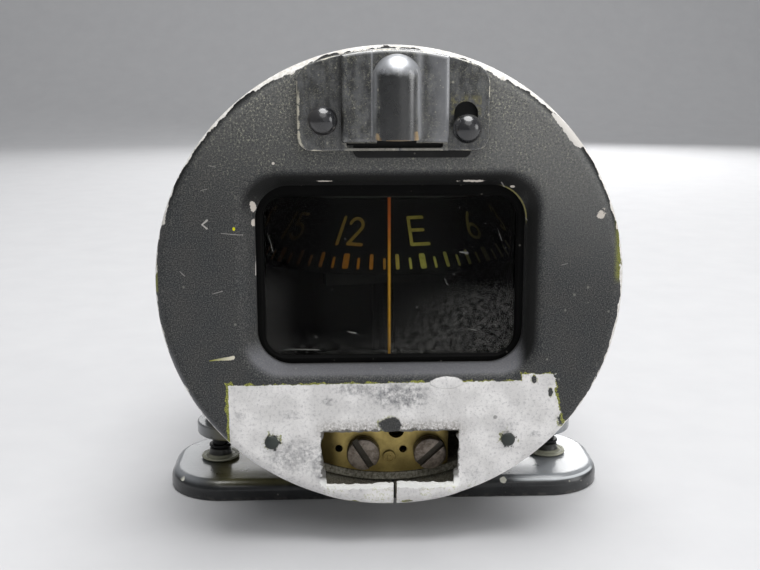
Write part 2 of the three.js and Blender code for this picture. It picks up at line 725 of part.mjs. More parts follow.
// Case
function makeCaseBody() {
  const flareRadius = barrelRadius + barrelFlare;
  const barrel = turnedY(
    [
      [0, flangeFront + flangeThickness / 2],
      [flareRadius, flangeFront + flangeThickness / 2],
      [flareRadius, flangeBack],
      ...arcPoints(flareRadius, flangeBack + barrelFlare, barrelFlare, -90, -180, 2).map((p) => [p.x, p.y]),
      ...arcPoints(barrelRadius - barrelRearRound, caseDepth - barrelRearRound, barrelRearRound, 0, 90, 3)
        .map((p) => [p.x, p.y]),
      [0, caseDepth],
    ],
    0,
    barrelRise,
    facetsBody,
  );
  const flange = rodY(flangeRadius, flangeFront, flangeBack, 0, 0, facetsBody);
  const bayBack = bayDepth + bayBackWall;
  const bayBlock = block(
    -bayBlockHalfWidth,
    bayBlockHalfWidth,
    flangeFront + flangeThickness / 2,
    bayBack,
    -flangeRadius - cutOverrun,
    down(bayTop) + bayRoof,
  ).intersect(rodY(flangeRadius, flangeFront, bayBack, 0, 0, facetsBody));
  const padHalfDepth = plateHalfWidth + padMargin;
  const pad = slabZ(
    new THREE.Shape(
      roundedPoints(-padHalfWidth, padHalfWidth, footY - padHalfDepth, footY + padHalfDepth, padCorner, 2),
    ),
    down(padDrop),
    chamberFloor,
  );
  const filler = rodZ(fillerBossRadius, chamberRadius - barrelWall, fillerBossTop, 0, fillerY, facetsSmall);
  const outside = join(barrel, flange, pad, filler);
  const chamber = turnedY(
    [
      [0, flangeBack],
      [chamberRadius, flangeBack],
      ...arcPoints(chamberRadius - barrelWall, chamberBack - barrelWall, barrelWall, 0, 90, 2)
        .map((p) => [p.x, p.y]),
      [0, chamberBack],
    ],
    0,
    barrelRise,
    facetsInner,
  );
  const postBoss = rodZ(postBossRadius, chamberFloor - barrelWall / 2, postBossTop, 0, cardY, facetsSmall);
  const bay = block(
    -bayHalfWidth,
    bayHalfWidth,
    flangeFront - cutOverrun,
    bayDepth,
    -flangeRadius,
    down(bayTop),
  ).intersect(rodY(flangeRadius - bayWall, flangeFront - cutOverrun, bayDepth, 0, 0, facetsBody));
  const view = slabY(
    centredRect(viewHalfWidth, viewHalfHeight, viewCentreZ, viewCorner),
    flangeFront - cutOverrun,
    flangeBack + cutOverrun,
  );
  const boreEnd = flangeFront + flangeThickness / 2;
  const bosses = [
    rodY(studBossRadius, bossFront, boreEnd, studLeftX, studLeftZ, facetsPin),
    rodY(studBossRadius, bossFront, boreEnd, studRightX, studRightZ, facetsPin),
    rodY(rivetBossRadius, bossFront, boreEnd, coverRivetLeftX, down(coverRivetDrop), facetsPin),
    rodY(rivetBossRadius, bossFront, boreEnd, coverRivetRightX, down(coverRivetDrop), facetsPin),
  ];
  const bores = [
    rodY(studRadius + seatGap, bossFront - cutOverrun, boreEnd, studLeftX, studLeftZ, facetsPin),
    rodY(studRadius + seatGap, bossFront - cutOverrun, boreEnd, studRightX, studRightZ, facetsPin),
    ...coverRivetHoles(bossFront - cutOverrun, flangeFront + seatGap),
    ...frameScrewPlaces().map(([x, z]) => frameScrewHole(flangeFront + frameScrewGrip + seatGap, x, z)),
    lubberNotch(),
    rodY(rearOpeningRadius, chamberBack - cutOverrun, caseDepth + cutOverrun, 0, barrelRise, facetsRound),
    ...rearScrewHoles(caseDepth - rearScrewGrip - seatGap, caseDepth + cutOverrun),
    rodZ(
      fillerPlugRadius + seatGap,
      chamberRadius - barrelWall,
      fillerBossTop + cutOverrun,
      0,
      fillerY,
      facetsPin,
    ),
    ...[-plateScrewX, plateScrewX].map((x) =>
      rodZ(
        plateScrewRadius + seatGap,
        down(padDrop) - cutOverrun,
        down(padDrop) + plateScrewGrip + seatGap,
        x,
        footY,
        facetsTiny,
      ),
    ),
  ];
  const hollow = cut(join(outside, bayBlock), cut(chamber, bayBlock));
  return cut(join(hollow, postBoss, ...bosses), bay, view, ...bores);
}

// The groove across the case's front face that holds the lubber line above and below the view
function lubberNotch() {
  const half = lubberRadius + seatGap;
  const reach = viewHalfHeight + lubberReach + seatGap;
  return block(
    -half,
    half,
    flangeFront - cutOverrun,
    flangeFront + lubberDepth + half,
    viewCentreZ - reach,
    viewCentreZ + reach,
  );
}

function makeLubberLine() {
  const reach = viewHalfHeight + lubberReach;
  return rodZ(lubberRadius, viewCentreZ - reach, viewCentreZ + reach, 0, flangeFront + lubberDepth, 8);
}

// Window
function frameScrewPlaces() {
  const x = frameHalfWidth - frameScrewInset;
  const z = frameHalfHeight - frameScrewInset;
  return [[-x, frameCentreZ + z], [x, frameCentreZ + z], [-x, frameCentreZ - z], [x, frameCentreZ - z]];
}

const frameScrewHole = (back, x, z) => rodY(frameScrewRadius + seatGap, frameFront, back, x, z, facetsTiny);

function makeGlassFrame() {
  const outline = centredRect(frameHalfWidth, frameHalfHeight, frameCentreZ, frameCorner);
  const body = slabY(outline, frameFront, frameBack);
  const pocket = slabY(
    centredRect(glassHalfWidth + seatGap, glassHalfHeight + seatGap, frameCentreZ, glassCorner + seatGap),
    frameFront + frameLip,
    frameBack + cutOverrun,
  );
  const view = slabY(
    centredRect(frameViewHalfWidth, frameViewHalfHeight, frameCentreZ, viewCorner),
    frameFront - cutOverrun,
    frameFront + frameLip + cutOverrun,
  );
  const headSeat = frameFront + frameScrewHeadHeight + 2 * seatGap;
  const screwHoles = frameScrewPlaces().flatMap(([x, z]) => [
    rodY(frameScrewHeadRadius + seatGap, frameFront - cutOverrun, headSeat, x, z, facetsPin),
    frameScrewHole(frameBack + cutOverrun, x, z),
  ]);
  return cut(body, pocket, view, ...screwHoles);
}

function makeFrameScrew([x, z]) {
  const headFront = frameFront + seatGap;
  const headBack = headFront + frameScrewHeadHeight;
  const tip = flangeFront + frameScrewGrip;
  return slottedScrewY(
    [[0, headFront], [frameScrewHeadRadius, headFront], [frameScrewHeadRadius, headBack]],
    [frameScrewRadius, headBack, tip],
    frameScrewSlotDepth,
    frameScrewSlotWidth,
    x,
    z,
    facetsTiny,
  );
}

// A screw along y: a head profile, its shank as [radius, start, end] and a slot across the head
function slottedScrewY(head, [radius, start, end], depth, width, x, z, segments) {
  const screw = turnedY([...head, [radius, start], [radius, end], [0, end]], x, z, segments);
  const front = head[0][1];
  const reach = head.at(-1)[0] + cutOverrun;
  const towards = Math.sign(end - start);
  const [a, b] = [front - towards * cutOverrun, front + towards * depth].sort((p, q) => p - q);
  return cut(screw, block(x - reach, x + reach, a, b, z - width / 2, z + width / 2));
}

function makeWindowGlass() {
  const outline = centredRect(glassHalfWidth, glassHalfHeight, frameCentreZ, glassCorner);
  return slabY(outline, glassFront, glassBack);
}

function makeWindowGasket() {
  const front = glassBack + seatGap;
  const back = frameBack;
  const outer = centredRect(glassHalfWidth, glassHalfHeight, frameCentreZ, glassCorner);
  outer.holes.push(
    new THREE.Path(
      roundedPoints(
        -viewHalfWidth,
        viewHalfWidth,
        viewCentreZ - viewHalfHeight,
        viewCentreZ + viewHalfHeight,
        viewCorner,
      ),
    ),
  );
  return slabY(outer, front, back);
}

// Card, floats and needle, all about the card's axis
function makeCardBand() {
  return turnedZ(
    [
      [bandRadius - bandSheet, bandBottom],
      [bandRadius, bandBottom],
      [bandTopRadius, bandTop],
      [bandTopRadius - bandSheet, bandTop],
      [bandRadius - bandSheet, bandBottom],
    ],
    0,
    cardY,
    facetsBody,
  );
}

function makeCardWeb() {
  const shape = new THREE.Shape(arcPoints(0, 0, webRadius, 0, 360, facetsInner).slice(0, -1));
  shape.holes.push(new THREE.Path(arcPoints(0, 0, webInnerRadius, 0, 360, facetsSmall).slice(0, -1)));
  for (let i = 0; i < webHoleCount; i += 1) {
    const angle = ((i + 0.5) * 2 * Math.PI) / webHoleCount;
    const [x, y] = [webHoleCircle * Math.cos(angle), webHoleCircle * Math.sin(angle)];
    shape.holes.push(new THREE.Path(arcPoints(x, y, webHoleRadius, 0, 360, facetsPin).slice(0, -1)));
  }
  return movedSolid(slabZ(shape, webBottom, webTop), 0, cardY, 0);
}

function makeFloatLower() {
  const inner = floatRadius - floatSheet;
  const slope = (wellMouthRadius - wellNeckRadius) / (floatSeam - floatBottom);
  const floor = floatBottom + floatSheet;
  const innerWell = wellMouthRadius + floatSheet - slope * floatSheet;
  return turnedZ(
    [
      [wellMouthRadius, floatBottom],
      ...arcPoints(floatRadius - floatRound, floatBottom + floatRound, floatRound, -90, 0, 2)
        .map((p) => [p.x, p.y]),
      [floatRadius, floatSeam],
      [inner, floatSeam],
      ...arcPoints(floatRadius - floatRound, floatBottom + floatRound, floatRound - floatSheet, 0, -90, 2)
        .map((p) => [p.x, p.y]),
      [innerWell, floor],
      [wellNeckRadius + floatSheet, floatSeam],
      [wellNeckRadius, floatSeam],
      [wellMouthRadius, floatBottom],
    ],
    0,
    cardY,
    facetsRound,
  );
}

function makeFloatUpper() {
  const seam = floatSeam + seatGap;
  const inner = floatRadius - floatSheet;
  const roof = floatTop - floatSheet;
  const bore = hubRadius + seatGap;
  return turnedZ(
    [
      [inner, seam],
      [floatRadius, seam],
      ...arcPoints(floatRadius - floatRound, floatTop - floatRound, floatRound, 0, 90, 2)
        .map((p) => [p.x, p.y]),
      [bore, floatTop],
      [bore, hubBottom],
      [wellNeckRadius, seam],
      [wellNeckRadius + floatSheet, seam],
      [bore + floatSheet, hubBottom],
      [bore + floatSheet, roof],
      ...arcPoints(floatRadius - floatRound, floatTop - floatRound, floatRound - floatSheet, 90, 0, 2)
        .map((p) => [p.x, p.y]),
      [inner, seam],
    ],
    0,
    cardY,
    facetsRound,
  );
}

function makePivotNeedle() {
  return turnedZ(
    [
      [0, pivotZ],
      [needleTipRadius, pivotZ],
      [needleRadius, pivotZ + needleTaper],
      [needleRadius, hubBottom],
      [hubRadius, hubBottom],
      [hubRadius, hubTop],
      [hubFlangeRadius, hubTop],
      [hubFlangeRadius, hubTop + hubFlangeHeight],
      [0, hubTop + hubFlangeHeight],
    ],
    0,
    cardY,
    facetsPin,
  );
}

function makeMagnetCarrier() {
  const inner = carrierOuterRadius - carrierWidth;
  return turnedZ(
    [
      [inner, carrierBottom],
      [carrierOuterRadius, carrierBottom],
      [carrierOuterRadius, carrierTop],
      [inner, carrierTop],
      [inner, carrierBottom],
    ],
    0,
    cardY,
    facetsSmall,
  );
}

// A bar magnet under the carrier, along the card's north line, to one side of the axis
function makeCardMagnet(side) {
  const half = cardMagnetSide / 2;
  const bar = block(
    -cardMagnetLength / 2,
    cardMagnetLength / 2,
    side * cardMagnetOffset - half,
    side * cardMagnetOffset + half,
    magnetTop - cardMagnetSide,
    magnetTop,
  );
  return movedSolid(bar.rotate([0, 0, cardHeading - quarterTurn]), 0, cardY, 0);
}

// Jewel post, cup, stone and spring
function makeJewelPost() {
  return turnedZ(
    [
      [0, postFoot],
      [postFootRadius, postFoot],
      [postFootRadius, postFoot + postFootHeight],
      [postRadius, postFoot + postFootHeight],
      [postRadius, postTop],
      [postBore, postTop],
      [postBore, boreBottom],
      [0, boreBottom],
    ],
    0,
    cardY,
    facetsSmall,
  );
}

function makeJewelCup() {
  return turnedZ(
    [
      [0, cupBottom],
      [cupRadius, cupBottom],
      [cupRadius, cupTop],
      [cupBore, cupTop],
      [cupBore, cupTop - cupBoreDepth],
      [0, cupTop - cupBoreDepth],
    ],
    0,
    cardY,
    facetsPin,
  );
}

function makeJewelStone() {
  return turnedZ(
    [
      [0, jewelTop - jewelHeight],
      [jewelRadius, jewelTop - jewelHeight],
      [jewelRadius, jewelTop],
      [jewelDishRadius, jewelTop],
      [0, jewelTop - jewelDishDepth],
    ],
    0,
    cardY,
    facetsPin,
  );
}

class Helix extends THREE.Curve {
  constructor(radius, length, turns) {
    super();
    Object.assign(this, { radius, length, turns });
  }

  getPoint(share, target = new THREE.Vector3()) {
    const angle = share * this.turns * 2 * Math.PI;
    return target.set(this.radius * Math.cos(angle), this.radius * Math.sin(angle), share * this.length);
  }
}

function makeJewelSpring() {
  const wire = springWire / 2;
  const radius = postBore - seatGap - wire;
  const path = new Helix(radius, springLength - springWire, springTurns);
  const section = new THREE.Shape(arcPoints(0, 0, wire, 0, 360, 5).slice(0, -1));
  const geometry = new THREE.ExtrudeGeometry(section, { steps: springTurns * 8, extrudePath: path });
  return solid(geometry.translate(0, cardY, springBottom + wire));
}

// Compensator
function makeCompensatorPlate(front, back, shaftHole) {
  const width = block(compPlateLeft, compPlateRight, front, back, -flangeRadius, down(bayTop) - seatGap);
  const [start, end] = [front - cutOverrun, back + cutOverrun];
  const plate = width.intersect(rodY(compPlateRadius, start, end, 0, 0, facetsBody));
  const shaftPlaces = [nsX, ewX].flatMap((x) => [[x, shaftDrop, shaftHole], [x, counterDrop, shaftRadius]]);
  const holes = [
    ...shaftPlaces,
    [lowerPillarX, lowerPillarDrop, spigotRadius],
    [upperPillarX, upperPillarDrop, spigotRadius],
  ].map(([x, drop, radius]) => rodY(radius + seatGap, start, end, x, down(drop), facetsPin));
  return cut(plate, ...holes);
}

function makeCompensatorFrontPlate() {
  const plate = makeCompensatorPlate(compPlateFront, compPlateBack, journalRadius);
  const holes = [
    [sightHoleX, sightHoleDrop, sightHoleRadius],
    [leftPinHoleX, leftPinHoleDrop, pinHoleRadius],
    [rightPinHoleX, rightPinHoleDrop, pinHoleRadius],
  ];
  return cut(
    plate,
    ...holes.map(([x, drop, radius]) =>
      rodY(radius, compPlateFront - cutOverrun, compPlateBack + cutOverrun, x, down(drop), facetsPin),
    ),
  );
}

function makePillar(x, drop) {
  const [headFront, headBack] = [compPlateFront - seatGap - pillarHeadHeight, compPlateFront - seatGap];
  const [bodyFront, bodyBack] = [compPlateBack + seatGap, compRearFront - seatGap];
  return turnedY(
    [
      [0, headFront],
      [pillarHeadRadius, headFront],
      [pillarHeadRadius, headBack],
      [spigotRadius, headBack],
      [spigotRadius, bodyFront],
      [pillarRadius, bodyFront],
      [pillarRadius, bodyBack],
      [spigotRadius, bodyBack],
      [spigotRadius, compRearBack],
      [0, compRearBack],
    ],
    x,
    down(drop),
    facetsPin,
  );
}

// A straight-sided spur gear; toothTurn is its turn in teeth
function makeGear(toothTurn, x, z) {
  const pitch = 360 / gearTeeth;
  const root = gearPitchRadius - gearDedendum;
  const tip = gearPitchRadius + gearAddendum;
  const points = [];
  for (let i = 0; i < gearTeeth; i += 1) {
    const middle = (i + toothTurn) * pitch;
    for (const [radius, share] of [[root, -toothRootShare], [tip, -toothTipShare], [tip, toothTipShare],
      [root, toothRootShare]]) {
      const angle = THREE.MathUtils.degToRad(middle + (share * pitch) / 2);
      points.push(point(x + radius * Math.cos(angle), z + radius * Math.sin(angle)));
    }
  }
  return slabY(new THREE.Shape(points), gearFront, gearBack);
}

// An adjusting shaft: slotted head in front of the plate, pinion behind it, magnet seat behind that
function makeAdjustingShaft(x, slotAngle) {
  const z = down(shaftDrop);
  const headBack = compPlateFront - seatGap;
  const headFront = headBack - slotHeadHeight;
  const shaft = turnedY(
    [
      [0, headFront],
      [slotHeadRadius - slotHeadChamfer, headFront],
      [slotHeadRadius, headFront + slotHeadChamfer],
      [slotHeadRadius, headBack],
      [journalRadius, headBack],
      [journalRadius, gearFront + gearWidth / 2],
      [shaftRadius, gearFront + gearWidth / 2],
      [shaftRadius, compRearBack],
      [0, compRearBack],
    ],
    x,
    z,
    facetsSmall,
  );
  const reach = slotHeadRadius + cutOverrun;
  const slot = turnedAboutY(
    block(
      x - reach,
      x + reach,
      headFront - cutOverrun,
      headFront + slotDepth,
      z - slotWidth / 2,
      z + slotWidth / 2,
    ),
    slotAngle,
    x,
    z,
  );
  return cut(join(shaft, makeGear(toothMesh, x, z)), slot);
}

function makeCounterShaft(x) {
  const z = down(counterDrop);
  const shaft = rodY(shaftRadius, compPlateFront, compRearBack, x, z, facetsPin);
  return join(shaft, makeGear(toothMesh, x, z));
}

function makeCompensatorMagnet(x, z, front) {
  const back = front + compMagnetThickness;
  const [halfLength, halfWidth] = [compMagnetLength / 2, compMagnetWidth / 2];
  const bar = block(x - halfLength, x + halfLength, front, back, z - halfWidth, z + halfWidth);
  return cut(bar, rodY(shaftRadius + seatGap, front - cutOverrun, back + cutOverrun, x, z, facetsPin));
}

// Lamp
function makeStud(x, z) {
  const tip = flangeFront + flangeThickness / 2 - seatGap;
  const neck = THREE.MathUtils.radToDeg(Math.asin(studRadius / studBallRadius));
  return turnedY(
    [
      ...arcPoints(0, -studBallProud, studBallRadius, -quarterTurn, quarterTurn - neck, 7)
        .map((p) => [Math.max(p.x, 0), p.y]),
      [studRadius, tip],
      [0, tip],
    ],
    x,
    z,
    facetsSmall,
  );
}

// A face plate outline below the rim: its top edge follows the cover's round
function rimPlate(left, right, bottom, corner, front, back) {
  const shape = rounded(left, right, bottom, coverRadius, corner, 4);
  return slabY(shape, front, back).intersect(
    rodY(coverRadius - hoodTopInset, front - cutOverrun, back + cutOverrun, 0, 0, facetsRim),
  );
}

const studHoles = (front, back) => [
  rodY(studHole, front, back, studLeftX, studLeftZ, facetsPin),
  rodY(studHole, front, back, studRightX, studRightZ, facetsPin),
];

function makeLampPlate() {
  const bottom = hoodBottom + hoodSheet;
  const plate = rimPlate(hoodLeft, hoodRight, bottom, hoodCorner, lampPlateFront, lampPlateBack);
  const tongue = slabY(
    rounded(lampPlateLeft, lampPlateRight, lampPlateBottom, studRightZ, lampPlateCorner, 3),
    lampPlateFront,
    lampPlateBack,
  );
  const [front, back] = [lampPlateFront - cutOverrun, lampPlateBack + cutOverrun];
  return cut(join(plate, tongue), ...studHoles(front, back), lampPort(front, back));
}

function bullet(radius, top, bottom) {
  const shoulder = top - radius;
  return turnedZ(
    [[0, bottom], ...arcPoints(0, shoulder, radius, 0, 90, 5).map((p) => [Math.max(p.x, 0), p.y])].toSpliced(
      1,
      0,
      [radius, bottom],
    ),
    domeX,
    domeY,
    facetsSmall,
  );
}

function makeLampHood() {
  const flange = rimPlate(hoodLeft, hoodRight, hoodBottom, hoodCorner, hoodFront, hoodBack);
  const channel = rimPlate(channelLeft, channelRight, channelBottom, channelCorner, channelFront, hoodBack);
  const channelHollow = rimPlate(
    channelLeft + hoodSheet,
    channelRight - hoodSheet,
    channelBottom - cutOverrun,
    channelCorner,
    channelFront + hoodSheet,
    hoodBack + cutOverrun,
  );
  const dome = bullet(domeRadius, domeTop, domeBottom).intersect(
    block(domeX - coverRadius, domeX + coverRadius, -coverRadius, hoodFront, 0, coverRadius),
  );
  const domeHollow = bullet(domeRadius - domeWall, domeTop - domeWall, domeBottom - cutOverrun);
  const shoulder = coverRadius - hoodTopInset - hoodSheet;
  const kept = rodY(shoulder, channelFront, hoodBack + 2 * cutOverrun, 0, 0, facetsRim);
  const [front, back] = [hoodFront - cutOverrun, hoodBack + cutOverrun];
  const slot = swingSlot(front, back);
  const pivotHole = rodY(studHole, front, back, studLeftX, studLeftZ, facetsPin);
  return cut(join(flange, channel, dome), channelHollow.intersect(kept), domeHollow, slot, pivotHole);
}

function swingSlot(front, back) {
  const bottom = studRightZ - swingSlotBelow - swingSlotRadius;
  const top = studRightZ + swingSlotAbove + swingSlotRadius;
  const [left, right] = [studRightX - swingSlotRadius, studRightX + swingSlotRadius];
  return slabY(rounded(left, right, bottom, top, swingSlotRadius, 8), front, back);
}

function makeLampBulb() {
  return turnedZ(
    [
      ...arcPoints(0, bulbBottom + bulbRadius, bulbRadius, -90, 0, 4).map((p) => [Math.max(p.x, 0), p.y]),
      [bulbRadius, bulbNeck - (bulbRadius - bulbCapRadius)],
      [bulbCapRadius, bulbNeck],
      [bulbCapRadius, bulbNeck + bulbCapHeight],
      [0, bulbNeck + bulbCapHeight],
    ],
    domeX,
    domeY,
    facetsPin,
  );
}

function makeLampSocket() {
  const bottom = bulbNeck + socketWallGap;
  const top = bottom + socketHeight;
  const bore = bulbCapRadius + seatGap;
  const floor = bulbNeck + bulbCapHeight + seatGap;
  return turnedZ(
    [
      [bore, bottom],
      [socketRadius, bottom],
      [socketRadius, top],
      [0, top],
      [0, floor],
      [bore, floor],
      [bore, bottom],
    ],
    domeX,
    domeY,
    facetsPin,
  );
}

// Rear
function rearScrewPlaces() {
  const reach = rearScrewCircle * Math.SQRT1_2;
  const [bottom, top] = [barrelRise - reach, barrelRise + reach];
  return [[-reach, top], [reach, top], [-reach, bottom], [reach, bottom]];
}

const rearScrewHoles = (front, back) =>
  rearScrewPlaces().map(([x, z]) => rodY(rearScrewRadius + seatGap, front, back, x, z, facetsTiny));

function makeRearGasket() {
  const ring = ringY(
    rearGasketInner,
    diaphragmRadius,
    rearGasketFront,
    rearGasketBack,
    0,
    barrelRise,
    facetsRound,
  );
  return cut(ring, ...rearScrewHoles(rearGasketFront - cutOverrun, rearGasketBack + cutOverrun));
}

// A thin disc whose middle is pressed into rings, so that it can breathe with the liquid
function makeDiaphragm() {
  const steps = diaphragmWaves * 3;
  const reach = rearDomeRadius - rearCoverSheet - seatGap;
  const wave = [];
  for (let i = 0; i <= steps; i += 1) {
    const share = i / steps;
    const radius = THREE.MathUtils.lerp(reach, diaphragmHubRadius, share);
    wave.push([radius, diaphragmWave * Math.sin(share * diaphragmWaves * 2 * Math.PI)]);
  }
  const front = wave.map(([radius, lift]) => [radius, diaphragmFront + lift]);
  const back = wave.map(([radius, lift]) => [radius, diaphragmBack + lift]).reverse();
  const disc = turnedY(
    [
      [0, diaphragmBack],
      ...back,
      [diaphragmRadius, diaphragmBack],
      [diaphragmRadius, diaphragmFront],
      ...front,
      [0, diaphragmFront],
    ],
    0,
    barrelRise,
    facetsRound,
  );
  return cut(disc, ...rearScrewHoles(diaphragmFront - cutOverrun, diaphragmBack + cutOverrun));
}

function makeRearCover() {
  const domeBack = rearCoverBack + rearDomeHeight;
  const [outer, inner] = [rearDomeRound, rearDomeRound - rearCoverSheet / 2];
  const cover = turnedY(
    [
      [0, domeBack],
      ...arcPoints(rearDomeRadius - outer, domeBack - outer, outer, 90, 0, 3).map((p) => [p.x, p.y]),
      [rearDomeRadius, rearCoverBack],
      [rearCoverRadius, rearCoverBack],
      [rearCoverRadius, rearCoverFront],
      [rearDomeRadius - rearCoverSheet, rearCoverFront],
      ...arcPoints(
        rearDomeRadius - rearCoverSheet - inner,
        domeBack - rearCoverSheet - inner,
        inner,
        0,
        90,
        2,
      ).map((p) => [p.x, p.y]),
      [0, domeBack - rearCoverSheet],
    ],
    0,
    barrelRise,
    facetsInner,
  );
  const vent = rodY(ventRadius, rearCoverFront, domeBack + cutOverrun, 0, barrelRise, facetsTiny);
  return cut(cover, vent, ...rearScrewHoles(rearCoverFront - cutOverrun, rearCoverBack + cutOverrun));
}

function makeRearScrew([x, z]) {
  const headFront = rearCoverBack + seatGap;
  const headBack = headFront + rearScrewHeadHeight;
  return slottedScrewY(
    [
      [0, headBack],
      [rearScrewCrownRadius, headBack - rearScrewCrownDrop],
      [rearScrewHeadRadius, headFront + rearScrewEdgeHeight],
      [rearScrewHeadRadius, headFront],
    ],
    [rearScrewRadius, headFront, caseDepth - rearScrewGrip],
    rearScrewSlotDepth,
    rearScrewSlotWidth,
    x,
    z,
    facetsPin,
  );
}

function makeFillerWasher() {
  const bottom = fillerBossTop + seatGap;
  const bore = fillerPlugRadius + seatGap;
  return turnedZ(
    [
      [bore, bottom],
      [fillerWasherRadius, bottom],
      [fillerWasherRadius, bottom + fillerWasherHeight],
      [bore, bottom + fillerWasherHeight],
      [bore, bottom],
    ],
    0,
    fillerY,
    facetsSmall,
  );
}

function makeFillerPlug() {
  const bottom = fillerBossTop + 2 * seatGap + fillerWasherHeight;
  const top = bottom + fillerHeadHeight;
  const plug = turnedZ(
    [
      [0, bottom - fillerWasherHeight - fillerGrip],
      [fillerPlugRadius, bottom - fillerWasherHeight - fillerGrip],
      [fillerPlugRadius, bottom],
      [fillerHeadRadius, bottom],
      [fillerHeadRadius, top - fillerHeadChamfer],
      [fillerHeadRadius - fillerHeadChamfer, top],
      [0, top],
    ],
    0,
    fillerY,
    facetsSmall,
  );
  const reach = fillerHeadRadius + cutOverrun;
  const half = fillerSlotWidth / 2;
  const slotBottom = top - fillerSlotDepth;
  return cut(plug, block(-reach, reach, fillerY - half, fillerY + half, slotBottom, top + cutOverrun));
}

// Foot and rubber mounts
function makeMountingPlate() {
  const outline = roundedPoints(
    -plateHalfLength,
    plateHalfLength,
    footY - plateHalfWidth,
    footY + plateHalfWidth,
    plateHalfWidth,
    6,
  );
  const [start, end] = [plateBottom - cutOverrun, plateTop + cutOverrun];
  const holes = [-1, 1].flatMap((side) => [
    rodZ(mountScrewRadius + seatGap, start, end, side * mountX, footY, facetsPin),
    rodZ(plateScrewRadius + seatGap, start, end, side * plateScrewX, footY, facetsPin),
  ]);
  return cut(slabZ(new THREE.Shape(outline), plateBottom, plateTop), ...holes);
}

function makePlateScrew(x) {
  const headTop = plateBottom - seatGap;
  const headBottom = headTop - plateScrewHeadHeight;
  const screw = turnedZ(
    [
      [0, headBottom],
      [plateScrewCrownRadius, headBottom + plateScrewCrownDrop],
      [plateScrewHeadRadius, headTop - plateScrewEdgeHeight],
      [plateScrewHeadRadius, headTop],
      [plateScrewRadius, headTop],
      [plateScrewRadius, down(padDrop) + plateScrewGrip],
      [0, down(padDrop) + plateScrewGrip],
    ],
    x,
    footY,
    facetsPin,
  );
  const reach = plateScrewHeadRadius + cutOverrun;
  const half = plateScrewSlotWidth / 2;
  const slotTop = headBottom + plateScrewSlotDepth;
  const start = headBottom - cutOverrun;
  return cut(screw, block(x - reach, x + reach, footY - half, footY + half, start, slotTop));
}

function makeShockGrommet(x) {
  const bore = mountScrewRadius + seatGap;
  const flangeTop = grommetTop - grommetConeHeight;
  const flangeBottom = baseTop + seatGap;
  const footTop = pocketTop - seatGap;
  const footBottom = footTop - grommetFootHeight;
  return turnedZ(
    [
      [bore, footBottom],
      [grommetFootRadius, footBottom],
      [grommetFootRadius, footTop],
      [grommetNeckRadius, footTop],
      [grommetNeckRadius, flangeBottom],
      [grommetFlangeRadius, flangeBottom],
      [grommetFlangeRadius, flangeTop],
      [grommetTopRadius, grommetTop],
      [bore, grommetTop],
      [bore, footBottom],
    ],
    x,
    footY,
    facetsSmall,
  );
}

function makeMountScrew(x) {
  const footBottom = pocketTop - seatGap - grommetFootHeight;
  const headTop = footBottom - seatGap;
  const headBottom = headTop - mountHeadHeight;
  const collarBottom = grommetTop + seatGap;
  const nutBottom = plateTop + seatGap;
  const nutTop = nutBottom + mountNutHeight;
  const shank = turnedZ(
    [
      [0, headBottom],
      [mountHeadRadius, headBottom],
      [mountHeadRadius, headTop],
      [mountScrewRadius, headTop],
      [mountScrewRadius, collarBottom],
      [mountCollarRadius, collarBottom],
      [mountCollarRadius, collarBottom + mountCollarHeight],
      [mountScrewRadius, collarBottom + mountCollarHeight],
      [mountScrewRadius, nutTop + mountCollarHeight],
      [0, nutTop + mountCollarHeight],
    ],
    x,
    footY,
    facetsPin,
  );
  return join(shank, rodZ(mountNutRadius, nutBottom, nutTop, x, footY, 6));
}

function makeBase() {
  const layers = arcPoints(0, 0, baseEdgeRound, 0, 90, 3).map((p) => ({
    inset: baseEdgeRound - p.x,
    z: baseTop - baseEdgeRound + p.y,
  }));
  const outline = (inset) =>
    roundedPoints(
      -baseHalfLength + inset,
      baseHalfLength - inset,
      footY - baseHalfWidth + inset,
      footY + baseHalfWidth - inset,
      baseCorner - inset,
      6,
    );
  const body = lofted([
    { z: baseBottom, points: outline(0) },
    ...layers.map(({ inset, z }) => ({ z, points: outline(inset) })),
  ]);
  const sinkDepth = deckSinkRadius - deckHoleRadius;
  const holes = [-1, 1].flatMap((side) => [
    rodZ(grommetNeckRadius + seatGap, baseBottom, baseTop + cutOverrun, side * mountX, footY, facetsSmall),
    rodZ(basePocketRadius, baseBottom - cutOverrun, pocketTop, side * mountX, footY, facetsSmall),
    turnedZ(
      [
        [0, baseBottom - cutOverrun],
        [deckHoleRadius, baseBottom - cutOverrun],
        [deckHoleRadius, baseTop - sinkDepth],
        [deckSinkRadius, baseTop],
        [deckSinkRadius, baseTop + cutOverrun],
        [0, baseTop + cutOverrun],
      ],
      side * deckHoleX,
      footY,
      facetsSmall,
    ),
  ]);
  return cut(body, ...holes);
}

addPiece('front_cover', makeFrontCover(), darkPaint);
addPiece('front_cover_rivet_left', makeCoverRivet(coverRivetLeftX), darkPaint);
addPiece('front_cover_rivet_right', makeCoverRivet(coverRivetRightX), darkPaint);
addPiece('case_body', makeCaseBody(), castMetal);
addPiece('glass_frame', makeGlassFrame(), hoodPaint);
addPiece('window_glass', makeWindowGlass(), clearGlass);
addPiece('window_gasket', makeWindowGasket(), rubber);
frameScrewPlaces().forEach((place, i) => {
  addPiece(`glass_frame_screw_${i + 1}`, makeFrameScrew(place), steel);
});
addPiece('lubber_line', makeLubberLine(), linePaint);

